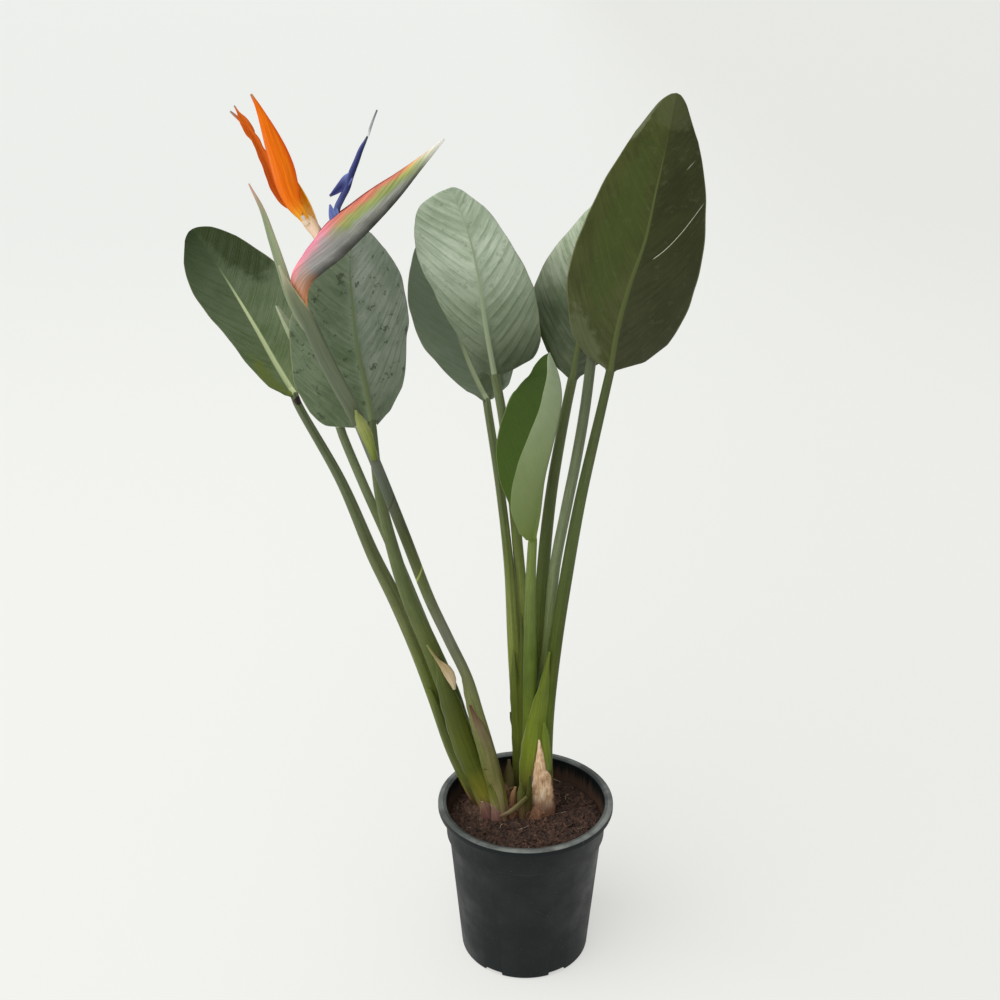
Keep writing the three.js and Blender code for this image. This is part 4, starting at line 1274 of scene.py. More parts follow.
@dataclass(frozen=True)
class Petal:
    """A bract, sheath, sepal or petal: a folded blade without a stalk.

    half is half its width at even steps, solid the share of its length at its foot that is a round neck,
    and lobes are the blades that grow back from it as the barbs of an arrow.
    """

    name: str
    node: str
    slot: str
    route: tuple[Point, ...]
    facing: Point
    half: tuple[float, ...]
    fold: float
    curl: tuple[float, ...] | float
    finish: PetalFinish | DryFinish | StalkFinish
    thick: float = 1.3
    solid: float = 0.0
    lobes: tuple[Lobe, ...] = ()
    crease: tuple[tuple[float, float, float], ...] = ()
    ragged: float = 0.0
    steps: int = 70
    columns: int = 25

    def skin(self) -> Skin:
        """Lofts the petal."""
        where = np.linspace(0.0, 1.0, self.steps)
        half = np.maximum(steady(self.half, where), 0.8)
        half = half * (1 + self.ragged * np.sin(where * 47) * where)
        flat = np.ones(self.steps)
        if self.solid:
            flat = np.clip((where - self.solid) / self.solid, 0.0, 1.0)
        rows = sections(
            self.route, self.facing, where, half, depth=np.minimum(half, half[0]), flat=flat,
            fold=self.fold * flat, curl=steady(self.curl, where) * flat, rib=0.3, rib_width=1.6,
            thick=np.minimum(self.thick / 2, half * 0.25 + 0.15), crease=self.crease,
        )
        whole = skin_over(rows, self.columns)
        for lobe in self.lobes:
            whole = whole.joined(self.lobe_skin(lobe))
        return whole

    def lobe_skin(self, lobe: Lobe) -> Skin:
        """Lofts one lobe of an arrow-shaped petal."""
        where = np.linspace(0.0, 1.0, 36)
        half = np.maximum(steady(lobe.half, where), 0.8)
        thick = np.minimum(0.6, half * 0.25 + 0.1)
        return skin_over(sections(lobe.route, lobe.facing, where, half, curl=14.0, thick=thick), 17)

    def build(self) -> None:
        """Builds and dresses the petal."""
        settle(mesh_from_skin(self.name, self.skin()), self.slot, self.finish, *filter(None, (self.node,)))


# The height at which the stalks start, inside the rootstock
FOOT = 166.0

BACK_STALK = ((0.14, 0.18, 0.02), (0.24, 0.28, 0.04), (0.23, 0.27, 0.065), (0.12, 0.15, 0.035),
              (0.15, 0.18, 0.08))
GREEN_STALK = ((0.13, 0.16, 0.015), (0.1, 0.13, 0.015), (0.11, 0.145, 0.03), (0.12, 0.15, 0.045),
               (0.17, 0.2, 0.1))
DARK_STALK = ((0.12, 0.14, 0.012), (0.1, 0.13, 0.012), (0.09, 0.12, 0.02), (0.1, 0.125, 0.035),
              (0.12, 0.145, 0.055))

DARK_LEAF = LeafFinish(
    slot="leaf_dark",
    # upper side: the leaf's dark green, lighter at the base and middle with a painted highlight
    upper=((0.19, 0.25, 0.11), (0.18, 0.23, 0.125), (0.115, 0.155, 0.08), (0.028, 0.049, 0.009)),
    under=((0.13, 0.16, 0.1), (0.12, 0.15, 0.09)),
    rib_upper=(0.6, 0.68, 0.38),
    stalk=((0.09, 0.12, 0.012), (0.13, 0.16, 0.025), (0.16, 0.18, 0.065), (0.12, 0.14, 0.06),
           (0.13, 0.155, 0.08)),
    deep=(0.5, 0.6, 0.4), bloom=0.75, dash=0.0, line=0.15, ridge_highlight=0.35, gap=17.0, rib_end=0.8, rib_width=3.5,
    gloss=(0.3, 0.5), shine=0.3,
    patches=(
        Patch((0.1, -0.68), (0.17, 0.34), (0.17, 0.21, 0.035), 0.75, 1.7),
        Patch((0.85, 0.7), (0.3, 0.6), (0.024, 0.042, 0.005), 0.95, 0.8),
    ),
    spots=(Spot((-254, 58, 690), 6, (0.03, 0.02, 0.015)),),
)
LEFT_LEAF = LeafFinish(
    slot="leaf_grey",
    upper=((0.08, 0.11, 0.04), (0.07, 0.1, 0.035)),
    under=((0.16, 0.2, 0.12), (0.235, 0.28, 0.2), (0.29, 0.335, 0.26)),
    rib_under=(0.15, 0.19, 0.085), rib_width=3.4,
    stalk=((0.06, 0.09, 0.008), (0.07, 0.1, 0.01), (0.115, 0.14, 0.035), (0.13, 0.16, 0.06),
           (0.12, 0.15, 0.06)),
    deep=(0.5, 0.57, 0.46), bloom=0.85, dash=0.6, dash_colour=(0.045, 0.06, 0.028), blot=0.75, groove=0.5,
    gap=14.0,
    # painted light on the left half, painted shade on the right
    lit_and_shaded_halves=((1.3, 1.24, 1.42), (0.78, 0.84, 0.72)),
    spots=(Spot((-101, 1.5, 397), 9, (0.16, 0.155, 0.045), 1.3),),
)
YOUNG_LEAF = LeafFinish(
    slot="leaf_young",
    upper=((0.13, 0.17, 0.07), (0.24, 0.3, 0.15)),
    under=((0.16, 0.2, 0.1), (0.5, 0.56, 0.37)),
    rib_upper=(0.25, 0.3, 0.15), rib_under=(0.34, 0.4, 0.24), stalk=GREEN_STALK, dash=0.0, bloom=0.4,
)
BACK_LEAF = LeafFinish(
    slot="leaf_dark",
    upper=((0.21, 0.255, 0.18), (0.16, 0.2, 0.13)),
    under=((0.14, 0.17, 0.11), (0.14, 0.17, 0.11)),
    rib_upper=(0.36, 0.42, 0.25), rib_under=(0.2, 0.24, 0.14), stalk=BACK_STALK,
    deep=(0.6, 0.68, 0.55), bloom=0.55, dash=0.1, line=0.05, ridge_highlight=0.12, rib_end=0.5, rib_width=3.2,
    patches=(Patch((0.02, 0.35), (0.17, 0.6), (0.05, 0.07, 0.025), 0.75, 1.2),),
)
MIDDLE_LEAF = LeafFinish(
    slot="leaf_grey",
    upper=((0.08, 0.11, 0.04), (0.08, 0.11, 0.04)),
    # under side: paler towards the tip, partly its whitish bloom and partly a painted sheen
    under=((0.08, 0.1, 0.052), (0.27, 0.32, 0.22), (0.56, 0.63, 0.5), (0.45, 0.53, 0.4)),
    rib_under=(0.3, 0.36, 0.22), stalk=BACK_STALK,
    deep=(0.52, 0.6, 0.5), bloom=0.8, dash=0.4, dash_colour=(0.09, 0.12, 0.06), blot=0.3, ridge_highlight=0.35,
    groove=0.6, gap=15.0,
)
RIGHT_BACK_LEAF = LeafFinish(
    slot="leaf_grey",
    upper=((0.05, 0.07, 0.02), (0.06, 0.085, 0.03)),
    under=((0.11, 0.13, 0.075), (0.13, 0.155, 0.1), (0.5, 0.56, 0.42), (0.78, 0.86, 0.69)),
    rib_under=(0.12, 0.15, 0.05), stalk=DARK_STALK,
    deep=(0.42, 0.5, 0.36), bloom=0.95, dash=0.6, dash_colour=(0.08, 0.1, 0.05), line=0.3, groove=0.4,
    patches=(Patch((0.02, 1.0), (0.3, 0.22), (0.03, 0.045, 0.012), 0.95, 0.6),),
)
FOLDED_LEAF = LeafFinish(
    slot="leaf_folded",
    upper=((0.06, 0.11, 0.005), (0.045, 0.09, 0.006)),
    under=((0.15, 0.21, 0.03), (0.25, 0.32, 0.13), (0.36, 0.43, 0.29)),
    rib_upper=(0.25, 0.3, 0.12), rib_under=(0.2, 0.26, 0.1),
    stalk=((0.12, 0.16, 0.01), (0.12, 0.165, 0.01), (0.09, 0.135, 0.012), (0.17, 0.22, 0.05)),
    deep=(0.72, 0.8, 0.6), bloom=0.5, dash=0.0, line=0.05, ridge_highlight=0.0, groove=0.0, rib_width=1.4,
    margin=(0.26, 0.32, 0.12),
)
TALL_LEAF = LeafFinish(
    slot="leaf_olive",
    upper=((0.07, 0.095, 0.035), (0.07, 0.095, 0.035)),
    under=((0.07, 0.08, 0.036), (0.05, 0.062, 0.015), (0.052, 0.062, 0.014)),
    rib_under=(0.088, 0.108, 0.03),
    stalk=((0.1, 0.14, 0.008), (0.068, 0.094, 0.007), (0.068, 0.093, 0.017), (0.1, 0.13, 0.04),
           (0.08, 0.1, 0.035)),
    shine=0.18, deep=(0.52, 0.58, 0.36), bloom=0.85, dash=0.35, dash_colour=(0.1, 0.12, 0.055), blot=0.2,
    groove=0.2,
    # painted shade on the left half, painted light on the right
    line=0.1, ridge_highlight=0.15, lit_and_shaded_halves=((0.78, 0.72, 0.72), (1.15, 1.1, 0.95)), rib_end=0.95, slant=(0.9, 0.0103),
    patches=(
        Patch((0.55, 0.42), (0.42, 0.36), (0.045, 0.072, 0.01), 0.5, 1.9),
        Patch((0.05, 0.8), (0.16, 0.4), (0.14, 0.165, 0.085), 0.4, 1.9),
        Patch((0.9, 0.98), (0.09, 0.18), (0.18, 0.2, 0.12), 0.6, 1.2),
        Patch((0.97, 0.0), (0.1, 1.6), (0.085, 0.1, 0.04), 0.5, 1.5),
    ),
    slits=(Slit(111.4, 14, 52), Slit(192.0, 26, 32, 0.45)),
)

LEAVES = (
    Leaf(
        name="strelitzia_leaf_far_left",
        stem=Stem(
            ((-53, 31, FOOT), (-86, 31, 255), (-106, 31, 325), (-127, 32, 392), (-151, 34, 456),
             (-174.5, 38, 509), (-209, 46, 599), (-255, 60, 686)),
            (7.4, 6.2, 4.4), (7.4, 10.2, 10, 9.2, 7.4, 5.4, 4.4), (0.49, -0.71, 0.5)),
        midrib=((-260, 62, 699), (-278, 68, 730), (-299, 77, 768), (-321, 88, 804), (-342, 98, 836),
                (-366, 108, 870)),
        left=(14, 28, 39, 45, 53, 54, 42, 22), right=(14, 28, 46, 56, 59, 51, 36, 20),
        fold=14, curl=12, lobe=6, wave=(3, 1.5), rib=3, finish=DARK_LEAF, relief=0.14,
    ),
    Leaf(
        name="strelitzia_leaf_left",
        stem=Stem(
            ((-41, 14, FOOT), (-54, 14, 209), (-70, 15, 264), (-87, 15, 333), (-109.5, 13, 401),
             (-133, 9, 468), (-146.5, 5, 519), (-162, 2, 600), (-168, 3, 680)),
            (8.6, 6.4, 4.6), (8.6, 11.4, 12, 9.6, 7.6, 5.6, 4.6), (-0.42, 0.91, 0.08)),
        midrib=((-169, 3, 690), (-173, -2, 728), (-179, -6, 765), (-182, -10, 811), (-183, -14, 854),
                (-178, -20, 898)),
        left=(28, 48, 63, 72, 73, 66, 48, 27), right=(48, 64, 72, 70, 65, 52, 32, 14),
        fold=12, curl=16, lobe=13, wave=(4, 1.8), rib=4, finish=LEFT_LEAF, relief=0.3,
    ),
    Leaf(
        name="strelitzia_leaf_left_young",
        stem=Stem(
            ((-39, 48, FOOT), (-80, 46, 300), (-114, 43, 400), (-150, 38, 510), (-183, 34, 600),
             (-204, 34, 660)),
            (6.6, 5.6, 4.6), (6.6, 7.6, 7.4, 6, 5, 4.6), (-0.1, 1, -0.05)),
        midrib=((-207, 34, 670), (-221, 36, 701), (-238, 38, 738), (-255, 40, 773), (-269, 42, 802)),
        left=(8, 13, 20, 22, 20, 16, 10, 5), right=(8, 13, 20, 22, 20, 16, 10, 5),
        fold=42, curl=40, lobe=0, wave=(2, 0.3), rib=2.5, finish=YOUNG_LEAF, relief=0.06,
    ),
    Leaf(
        name="strelitzia_leaf_middle_back",
        stem=Stem(
            ((-2, 44, FOOT), (-9, 42, 300), (-15, 43, 400), (-21, 47, 500), (-31, 55, 590), (-44, 67, 676)),
            (7.5, 5.6, 4.2), (7.5, 8.2, 7.6, 5.6, 4.8, 4.2), (0.4, -0.8, 0.4)),
        midrib=((-47, 72, 689), (-62, 80, 719), (-75, 88, 751), (-90, 98, 790), (-103, 108, 823),
                (-115, 118, 856)),
        left=(8, 20, 38, 50, 54, 48, 33, 18), right=(30, 46, 58, 60, 57, 50, 38, 22),
        fold=10, curl=10, lobe=6, wave=(4, 1.6), rib=3, finish=BACK_LEAF, relief=0.1,
    ),
    Leaf(
        name="strelitzia_leaf_middle",
        stem=Stem(
            ((8, 62, FOOT), (3, 59, 300), (-2, 56, 400), (-9, 52, 500), (-17, 42, 590), (-29, 29, 690)),
            (7, 5.6, 4.6), (7, 8, 7.8, 6, 5.2, 4.6), (-0.01, 0.98, 0.2)),
        midrib=((-37, 26, 734), (-43, 18, 771), (-48, 10, 806), (-52, 2, 840), (-58, -4, 872),
                (-65, -9, 899), (-80, -16, 937)),
        left=(44, 56, 60, 57, 48, 36, 24, 12), right=(13, 24, 38, 51, 60, 63, 56, 40),
        fold=10, curl=16, lobe=8, wave=(4, 1.8), rib=4, finish=MIDDLE_LEAF, relief=0.55,
    ),
    Leaf(
        name="strelitzia_leaf_right_back",
        stem=Stem(
            ((29, 57, FOOT), (22, 56, 300), (17, 51, 400), (20, 48, 500), (28, 48, 590), (42, 48, 683)),
            (7.5, 6, 5), (7.5, 8, 8, 7.2, 6, 5), (0.24, 0.97, 0.01)),
        midrib=((49, 48, 722), (54, 46, 758), (60, 45, 802), (68, 44, 849), (76, 43, 889), (85, 42, 923)),
        left=(11, 28, 47, 53, 52, 46, 33, 18), right=(22, 38, 62, 66, 57, 42, 24, 11),
        fold=12, curl=16, lobe=5, wave=(4, 2.2), rib=4, finish=RIGHT_BACK_LEAF, relief=0.35,
    ),
    Leaf(
        name="strelitzia_leaf_folded",
        stem=Stem(
            ((5, 24, FOOT), (5, 22, 300), (4, 17, 413), (4, 12, 492), (5, 9, 529)),
            (8.6, 8.6, 5), (7, 6.6, 6.2, 5), (-0.96, -0.28, 0.05)),
        midrib=((6, 8.5, 543), (11, 5, 575), (16, 2, 620), (24, -1, 658), (30.5, -4, 690),
                (33.5, -5.5, 716), (30, -5.5, 741), (21, -4, 764)),
        left=(12, 27, 48, 60, 62, 57, 46, 26), right=(16, 36, 58, 66, 64, 52, 34, 14),
        fold=38, curl=24, lobe=0, wave=(2, 0.6), rib=3, finish=FOLDED_LEAF, relief=0.04,
    ),
    Leaf(
        name="strelitzia_leaf_right_tall",
        stem=Stem(
            ((24, 22, FOOT), (25, 20, 300), (33, 18, 400), (45, 15, 500), (58, 11, 591), (77, 5, 695)),
            (8.6, 6.4, 4.4), (8.6, 8, 7.4, 6.8, 5.6, 4.4), (0.09, 0.98, 0.15)),
        midrib=((86, 2, 745), (91, -6, 789), (101, -16, 839), (114, -25, 887), (122, -33, 938),
                (130, -40, 987), (136, -46, 1031)),
        left=(36, 58, 71, 69, 61, 50, 32, 15), right=(28, 48, 63, 67, 62, 50, 33, 17),
        fold=8, curl=16, lobe=3, wave=(4, 1.8), rib=4.5, finish=TALL_LEAF, relief=0.3,
    ),
)


@dataclass
class Flower:
    """The flower stalk, its bracts and the open flower that stands out of the beak-shaped spathe."""

    stalk: Stem = Stem(
        ((-23.5, 4, FOOT), (-45.5, 4, 266), (-54.7, 3, 313), (-67.5, -1, 370), (-88.5, -6, 425),
         (-109, -12, 479),
         (-133.5, -25, 562), (-161.8, -38, 654), (-184, -49, 722), (-197, -54, 750), (-210, -58, 783),
         (-219, -60.5, 809), (-222.6, -62, 828)),
        (8.2, 7, 5.8, 5.4, 5.6, 5.8, 5.5, 5.3, 5.1), (8.2, 10.6, 6.4, 5.8, 5.8, 5.8, 5.5, 5.3, 5.1),
        dome=0.01,
    )
    pedicel: Stem = Stem(
        ((-200.6, -64.5, 873.6), (-203, -64.5, 888), (-207.5, -64.8, 902.5), (-212.8, -65.2, 910.4),
         (-218.2, -65.7, 917.2), (-222.3, -66, 920.8)),
        (2.2, 3.4, 4.4, 5.6, 6, 4.8), dome=0.25,
    )
    stigma: Stem = Stem(((-154.5, -69, 995.1), (-150.3, -69, 1006.7), (-145.2, -69, 1018.5)), (1, 0.9, 0.5))

    def petals(self) -> tuple[Petal, ...]:
        """Returns the bracts, sepals and petals."""
        spathe = PetalFinish(
            across=(
                (0.0, (0.06, 0.06, 0.05)), (0.14, (0.14, 0.135, 0.125)), (0.42, (0.42, 0.41, 0.4)),
                (0.7, (0.45, 0.37, 0.37)), (0.84, (0.78, 0.36, 0.42)), (0.95, (0.98, 0.3, 0.44)),
            ),
            later=(
                (0.3, 0.46, (
                    (0.0, (0.045, 0.05, 0.035)), (0.14, (0.13, 0.135, 0.12)), (0.42, (0.42, 0.43, 0.38)),
                    (0.58, (0.32, 0.4, 0.14)), (0.74, (0.44, 0.43, 0.15)), (0.85, (0.74, 0.28, 0.16)),
                    (1.0, (0.74, 0.19, 0.15)),
                )),
                (0.72, 0.92,
                 ((0.0, (0.12, 0.15, 0.07)), (0.4, (0.3, 0.38, 0.13)), (0.72, (0.6, 0.62, 0.18)),
                  (1.0, (0.88, 0.45, 0.1)))),
            ),
            foot=(1.0, 0.36, 0.13), tip=(1.0, 0.98, 0.9), tip_start=0.8, fine=0.6, streak=0.6,
            shade=(0.45, 0.44, 0.42),
        )
        bract = PetalFinish(
            across=((0.0, (0.25, 0.31, 0.18)), (0.5, (0.31, 0.37, 0.22)), (0.85, (0.38, 0.42, 0.26)),
                    (1.0, (0.46, 0.46, 0.3))),
            foot=(0.2, 0.25, 0.12), tip=(0.6, 0.38, 0.3), tip_start=0.8, streak=0.4,
        )
        short = PetalFinish(
            across=((0.0, (0.12, 0.15, 0.095)), (0.6, (0.17, 0.2, 0.125)), (1.0, (0.085, 0.11, 0.065))),
            later=((0.62, 0.8,
                    ((0.0, (0.15, 0.18, 0.11)), (0.7, (0.2, 0.225, 0.13)), (1.0, (0.55, 0.52, 0.3)))),),
            foot=(0.1, 0.125, 0.065), tip=(0.45, 0.44, 0.3), tip_start=0.8, streak=0.45,
        )
        orange = PetalFinish(
            across=((0.0, (0.88, 0.18, 0.0)), (0.6, (0.95, 0.22, 0.002)), (1.0, (0.8, 0.09, 0.0))),
            foot=(0.95, 0.5, 0.03), tip=(0.6, 0.3, 0.12), foot_end=0.24, tip_start=0.95, streak=0.6,
            shade=(0.75, 0.45, 0.3), fine=0.55,
            spots=(Spot((-215, -73, 911), 8, (0.86, 0.66, 0.48), 0.5),
                   Spot((-217.8, -75, 919.5), 3, (0.62, 0.6, 0.6), 1.4),
                   # a dark spot of painted shade in the gap above the pale petal base
                   Spot((-218.6, -75, 923.5), 2.4, (0.1, 0.08, 0.09), 1.2)),
        )
        deep = PetalFinish(
            across=((0.0, (0.7, 0.13, 0.004)), (0.6, (0.85, 0.2, 0.02)), (1.0, (0.66, 0.11, 0.01))),
            foot=(0.8, 0.3, 0.03), tip=(0.42, 0.34, 0.3), tip_start=0.88, streak=0.5, shade=(0.6, 0.4, 0.3),
        )
        yellow = PetalFinish(
            across=((0.0, (0.93, 0.46, 0.01)), (0.6, (0.95, 0.52, 0.02)), (1.0, (0.92, 0.42, 0.02))),
            foot=(0.93, 0.72, 0.36), tip=(0.84, 0.25, 0.02), foot_end=0.5, tip_start=0.7,
        )
        blue = PetalFinish(
            across=((0.0, (0.02, 0.025, 0.1)), (0.5, (0.04, 0.05, 0.2)), (1.0, (0.1, 0.12, 0.34))),
            foot=(0.2, 0.25, 0.6), tip=(0.08, 0.09, 0.14), foot_end=0.6, tip_start=0.9, streak=0.45,
            rough=0.5, fine=2.0,
        )
        light = PetalFinish(
            across=((0.0, (0.12, 0.17, 0.48)), (0.6, (0.18, 0.24, 0.56)), (1.0, (0.34, 0.4, 0.66))),
            foot=(0.07, 0.1, 0.34), tip=(0.16, 0.18, 0.45), streak=0.4, fine=2.0,
        )
        return (
            Petal(
                "flower_spathe", "spathe", "spathe",
                ((-222.2, -62, 826.5), (-220.6, -62.5, 842.7), (-216.1, -63, 853.4), (-204.7, -63.7, 863.5),
                 (-186, -64.5, 878), (-166, -66, 897), (-146, -67, 917), (-126, -68.5, 939),
                 (-106, -70, 964), (-83, -72, 992)),
                (-0.763, 0, 0.645), (1.8, 17.5, 26, 31.5, 35.5, 35.5, 32.5, 29.3, 24.5, 18, 11.5, 6, 1.8),
                42, 76,
                spathe, thick=1.4, solid=0.01, steps=110, columns=41,
                crease=((0.3, 0.1, 0.4), (-0.3, 0.1, 0.4)),
            ),
            Petal(
                "flower_bract_long", "bract_long", "bract",
                ((-208.5, -53.5, 770), (-219.4, -49.5, 789.7), (-231, -49, 808), (-241.5, -51, 833),
                 (-249, -51, 863), (-256, -51, 893), (-263, -50.5, 923), (-273, -49, 947)),
                (0.62, 0.72, 0.25), (2.5, 5.6, 8.7, 9.4, 8.6, 6.8, 4, 0.9), 12, 46, bract, thick=1.6,
            ),
            Petal(
                "flower_bract_short", "bract_short", "bract",
                ((-178.8, -52.6, 701), (-183.5, -54.8, 714), (-194.9, -59.5, 740), (-206.2, -63.2, 766.6),
                 (-216.1, -66, 792.7), (-222.7, -68.3, 812), (-230, -71, 830), (-238, -71.5, 850),
                 (-245.5, -69, 872)),
                (0.3, 0.95, 0.1), (15.2, 15.2, 15.2, 15.2, 14.4, 11, 6, 1), 0,
                (119, 119, 119, 119, 112, 76, 50, 40),
                short, thick=1.2,
            ),
            Petal(
                "flower_sepal_front", "sepal_front", "sepal",
                ((-215.5, -72.3, 911.5), (-221.7, -73.4, 920.9), (-229.5, -73, 931.6),
                 (-235.6, -72.8, 947.1), (-239.3, -73, 964),
                 (-244.7, -72.5, 984.3), (-251.7, -71.5, 1007.9), (-257.4, -70, 1024),
                 (-261.6, -69, 1032.9)),
                (0.25, 0.95, 0), (4.4, 9.6, 14.2, 15.4, 13.7, 9.8, 5, 1), 22, 30, orange, thick=1.2,
                crease=((0.42, 0.09, 0.8), (-0.4, 0.1, 0.7), (0.08, 0.07, 0.5)), steps=90, columns=37,
            ),
            Petal(
                "flower_sepal_side", "sepal_side", "sepal",
                ((-223, -61.5, 921.8), (-238.9, -56, 930.7), (-248.5, -51, 944.1), (-254.6, -48, 961.7),
                 (-260.5, -47, 976.6), (-265.9, -46.5, 989.7), (-272.3, -46, 1000.8), (-279.5, -46, 1008),
                 (-286.5, -46, 1014.5)),
                (0.6, -0.75, 0.2), (2.4, 5.6, 7, 7, 6.6, 5.4, 4, 2.4, 0.8), 14, 30, deep, thick=1.2,
                ragged=0.12,
                crease=((0.3, 0.12, 0.6),),
                lobes=(
                    Lobe(((-266, -46.5, 988), (-271.5, -46, 1000), (-277.5, -45.5, 1010.5),
                          (-282.4, -45, 1019.6)), (0.5, -0.8, 0.2),
                         (2.4, 5, 5, 4, 1.4, 0.8)),
                ),
            ),
            Petal(
                "flower_sepal_back", "sepal_back", "sepal",
                ((-205.8, -62.5, 906), (-209.5, -60.5, 914), (-213.3, -58.5, 922), (-217.3, -56.5, 930),
                 (-221.8, -53.5, 937.5), (-228, -50.5, 947.5), (-235.4, -49, 958.1)),
                (-0.35, -0.92, 0.15), (1.6, 5.4, 8, 8.6, 8.2, 6.6, 1), 14, 66, yellow, thick=1.2,
            ),
            Petal(
                "flower_arrow_petal", "petal_arrow", "petal",
                ((-180, -65.5, 893), (-184.5, -66, 908), (-185.1, -66.6, 924.2), (-180, -67, 935.2),
                 (-174.4, -67.4, 945.2), (-170.3, -67.8, 957), (-164.3, -68.2, 971.6),
                 (-160.7, -68.5, 981.2), (-154.8, -69, 994.4)),
                (-0.94, -0.1, -0.35), (5, 5.8, 6, 5.6, 5.6, 5.8, 5, 3.8, 1.2), 56, 10, blue, thick=1.4,
                lobes=(
                    Lobe(((-170.9, -68.2, 961.3), (-175.3, -69.6, 955), (-181.7, -70.6, 948.1),
                          (-187.1, -71.1, 943.5), (-192.6, -71.5, 939.3)), (0, 1, 0)),
                    Lobe(((-171.2, -65.8, 960.9), (-175.9, -64.4, 954.1), (-182.5, -63.4, 946.8),
                          (-188, -62.9, 942), (-193.7, -62.5, 937.6)), (0, -1, 0)),
                ),
            ),
            Petal(
                "flower_nectary_petal", "petal_nectary", "petal",
                ((-188.5, -70, 907), (-191.5, -70, 920), (-193, -70, 931)),
                (0.3, 0.95, 0.1), (2.6, 5, 5.2, 3.4, 0.9), 10, 30, light, thick=1.2,
                lobes=(Lobe(((-187.5, -69.5, 909), (-187.6, -69.5, 919), (-186.8, -69.5, 928)),
                            (0.3, 0.95, 0.1), (2.4, 3.6, 3, 0.9)),),
            ),
        )

    def build(self) -> None:
        """Builds and dresses the flower and its stalk."""
        green = StalkFinish(
            (
                (0.12, 0.14, 0.02), (0.16, 0.17, 0.03), (0.19, 0.2, 0.06), (0.16, 0.17, 0.07),
                (0.155, 0.16, 0.11), (0.125, 0.145, 0.05),
                (0.065, 0.08, 0.024), (0.1, 0.115, 0.08), (0.22, 0.23, 0.18), (0.15, 0.19, 0.1),
                (0.13, 0.17, 0.09),
            ),
            rings=((0.5225, 0.0035, (0.3, 0.34, 0.08)), (0.66, 0.003, (0.05, 0.06, 0.03))),
        )
        self.stalk.build("flower_scape", "stalk", green, "flower_stalk", 120)
        cream = PetalFinish(
            across=((0.0, (0.95, 0.74, 0.56)), (0.6, (0.95, 0.7, 0.5)), (1.0, (0.9, 0.62, 0.42))),
            foot=(0.9, 0.46, 0.38), tip=(0.86, 0.62, 0.26), foot_end=0.4, tip_start=0.7,
            shade=(0.8, 0.62, 0.5),
        )
        self.pedicel.build("flower_pedicel_neck", "pedicel", cream, "flower_pedicel", 30, 21)
        white = PetalFinish(
            across=((0.0, (0.3, 0.31, 0.34)), (1.0, (0.42, 0.43, 0.46))),
            foot=(0.8, 0.8, 0.82), tip=(0.16, 0.17, 0.2), foot_end=0.35, tip_start=0.5, streak=0.2,
        )
        self.stigma.build("flower_stigma", "stigma", white, "stigma", 24, 13)
        for petal in self.petals():
            petal.build()


@dataclass
class Bud:
    """The second flower stalk and its closed spathe, behind the tall leaf."""

    stalk: Stem = Stem(
        ((17, 42, FOOT), (17, 38, 300), (25, 32, 400), (32, 30, 500), (43, 26, 572), (53, 22, 634),
         (61, 20, 693), (67, 20, 754)),
        (7, 6.2, 6, 6, 5.8, 5.6, 5.2),
    )
    spathe: Stem = Stem(
        ((67.1, 20, 754.5), (69, 20, 772), (75, 20, 815), (84, 19, 866), (93, 18, 903)),
        (5.2, 7.4, 6.6, 4, 0.8)
    )

    def build(self) -> None:
        """Builds and dresses the bud and its stalk."""
        grey = StalkFinish(((0.11, 0.15, 0.02), (0.15, 0.19, 0.045), (0.26, 0.3, 0.17), (0.12, 0.14, 0.08)))
        self.stalk.build("bud_scape", "stalk", grey, "bud_stalk", 90)
        green = StalkFinish(((0.16, 0.19, 0.08), (0.2, 0.2, 0.1), (0.36, 0.26, 0.16)))
        self.spathe.build("bud_closed_spathe", "bract", green, "bud_spathe", 50)


@dataclass(frozen=True)
class Sheath:
    """A leaf's sheath, or a stub of one, that hugs the stalks behind it.

    front is its Y at the foot, and lean what it adds for each mm of height. line holds the X and Z
    of its middle from foot to tip, and colours run along it.
    """

    name: str
    front: float
    line: tuple[tuple[float, float], ...]
    half: tuple[float, ...]
    colours: tuple[Colour, ...]
    margin: Colour | None = None
    curl: float = 48.0
    slot: str = "stalk"
    lean: float = 0.0

    def build(self) -> None:
        """Builds and dresses the sheath."""
        finish = StalkFinish(self.colours, self.margin, stained=False)
        route = tuple((x, self.front + self.lean * (z - self.line[0][1]), z) for x, z in self.line)
        Petal(
            self.name, "", self.slot, route, (0, 1, 0), self.half, 5, self.curl, finish, 1.0,
            crease=((0.45, 0.1, 0.35), (-0.3, 0.12, 0.3)), ragged=0.06,
        ).build()


EARTH, RED, PINK, OLIVE = (0.1, 0.045, 0.028), (0.13, 0.055, 0.048), (0.42, 0.27, 0.19), (0.13, 0.14, 0.035)
CREAM, MOSS = (0.32, 0.28, 0.11), (0.07, 0.09, 0.012)
LEAFY, FRESH = (0.12, 0.16, 0.015), (0.15, 0.2, 0.018)

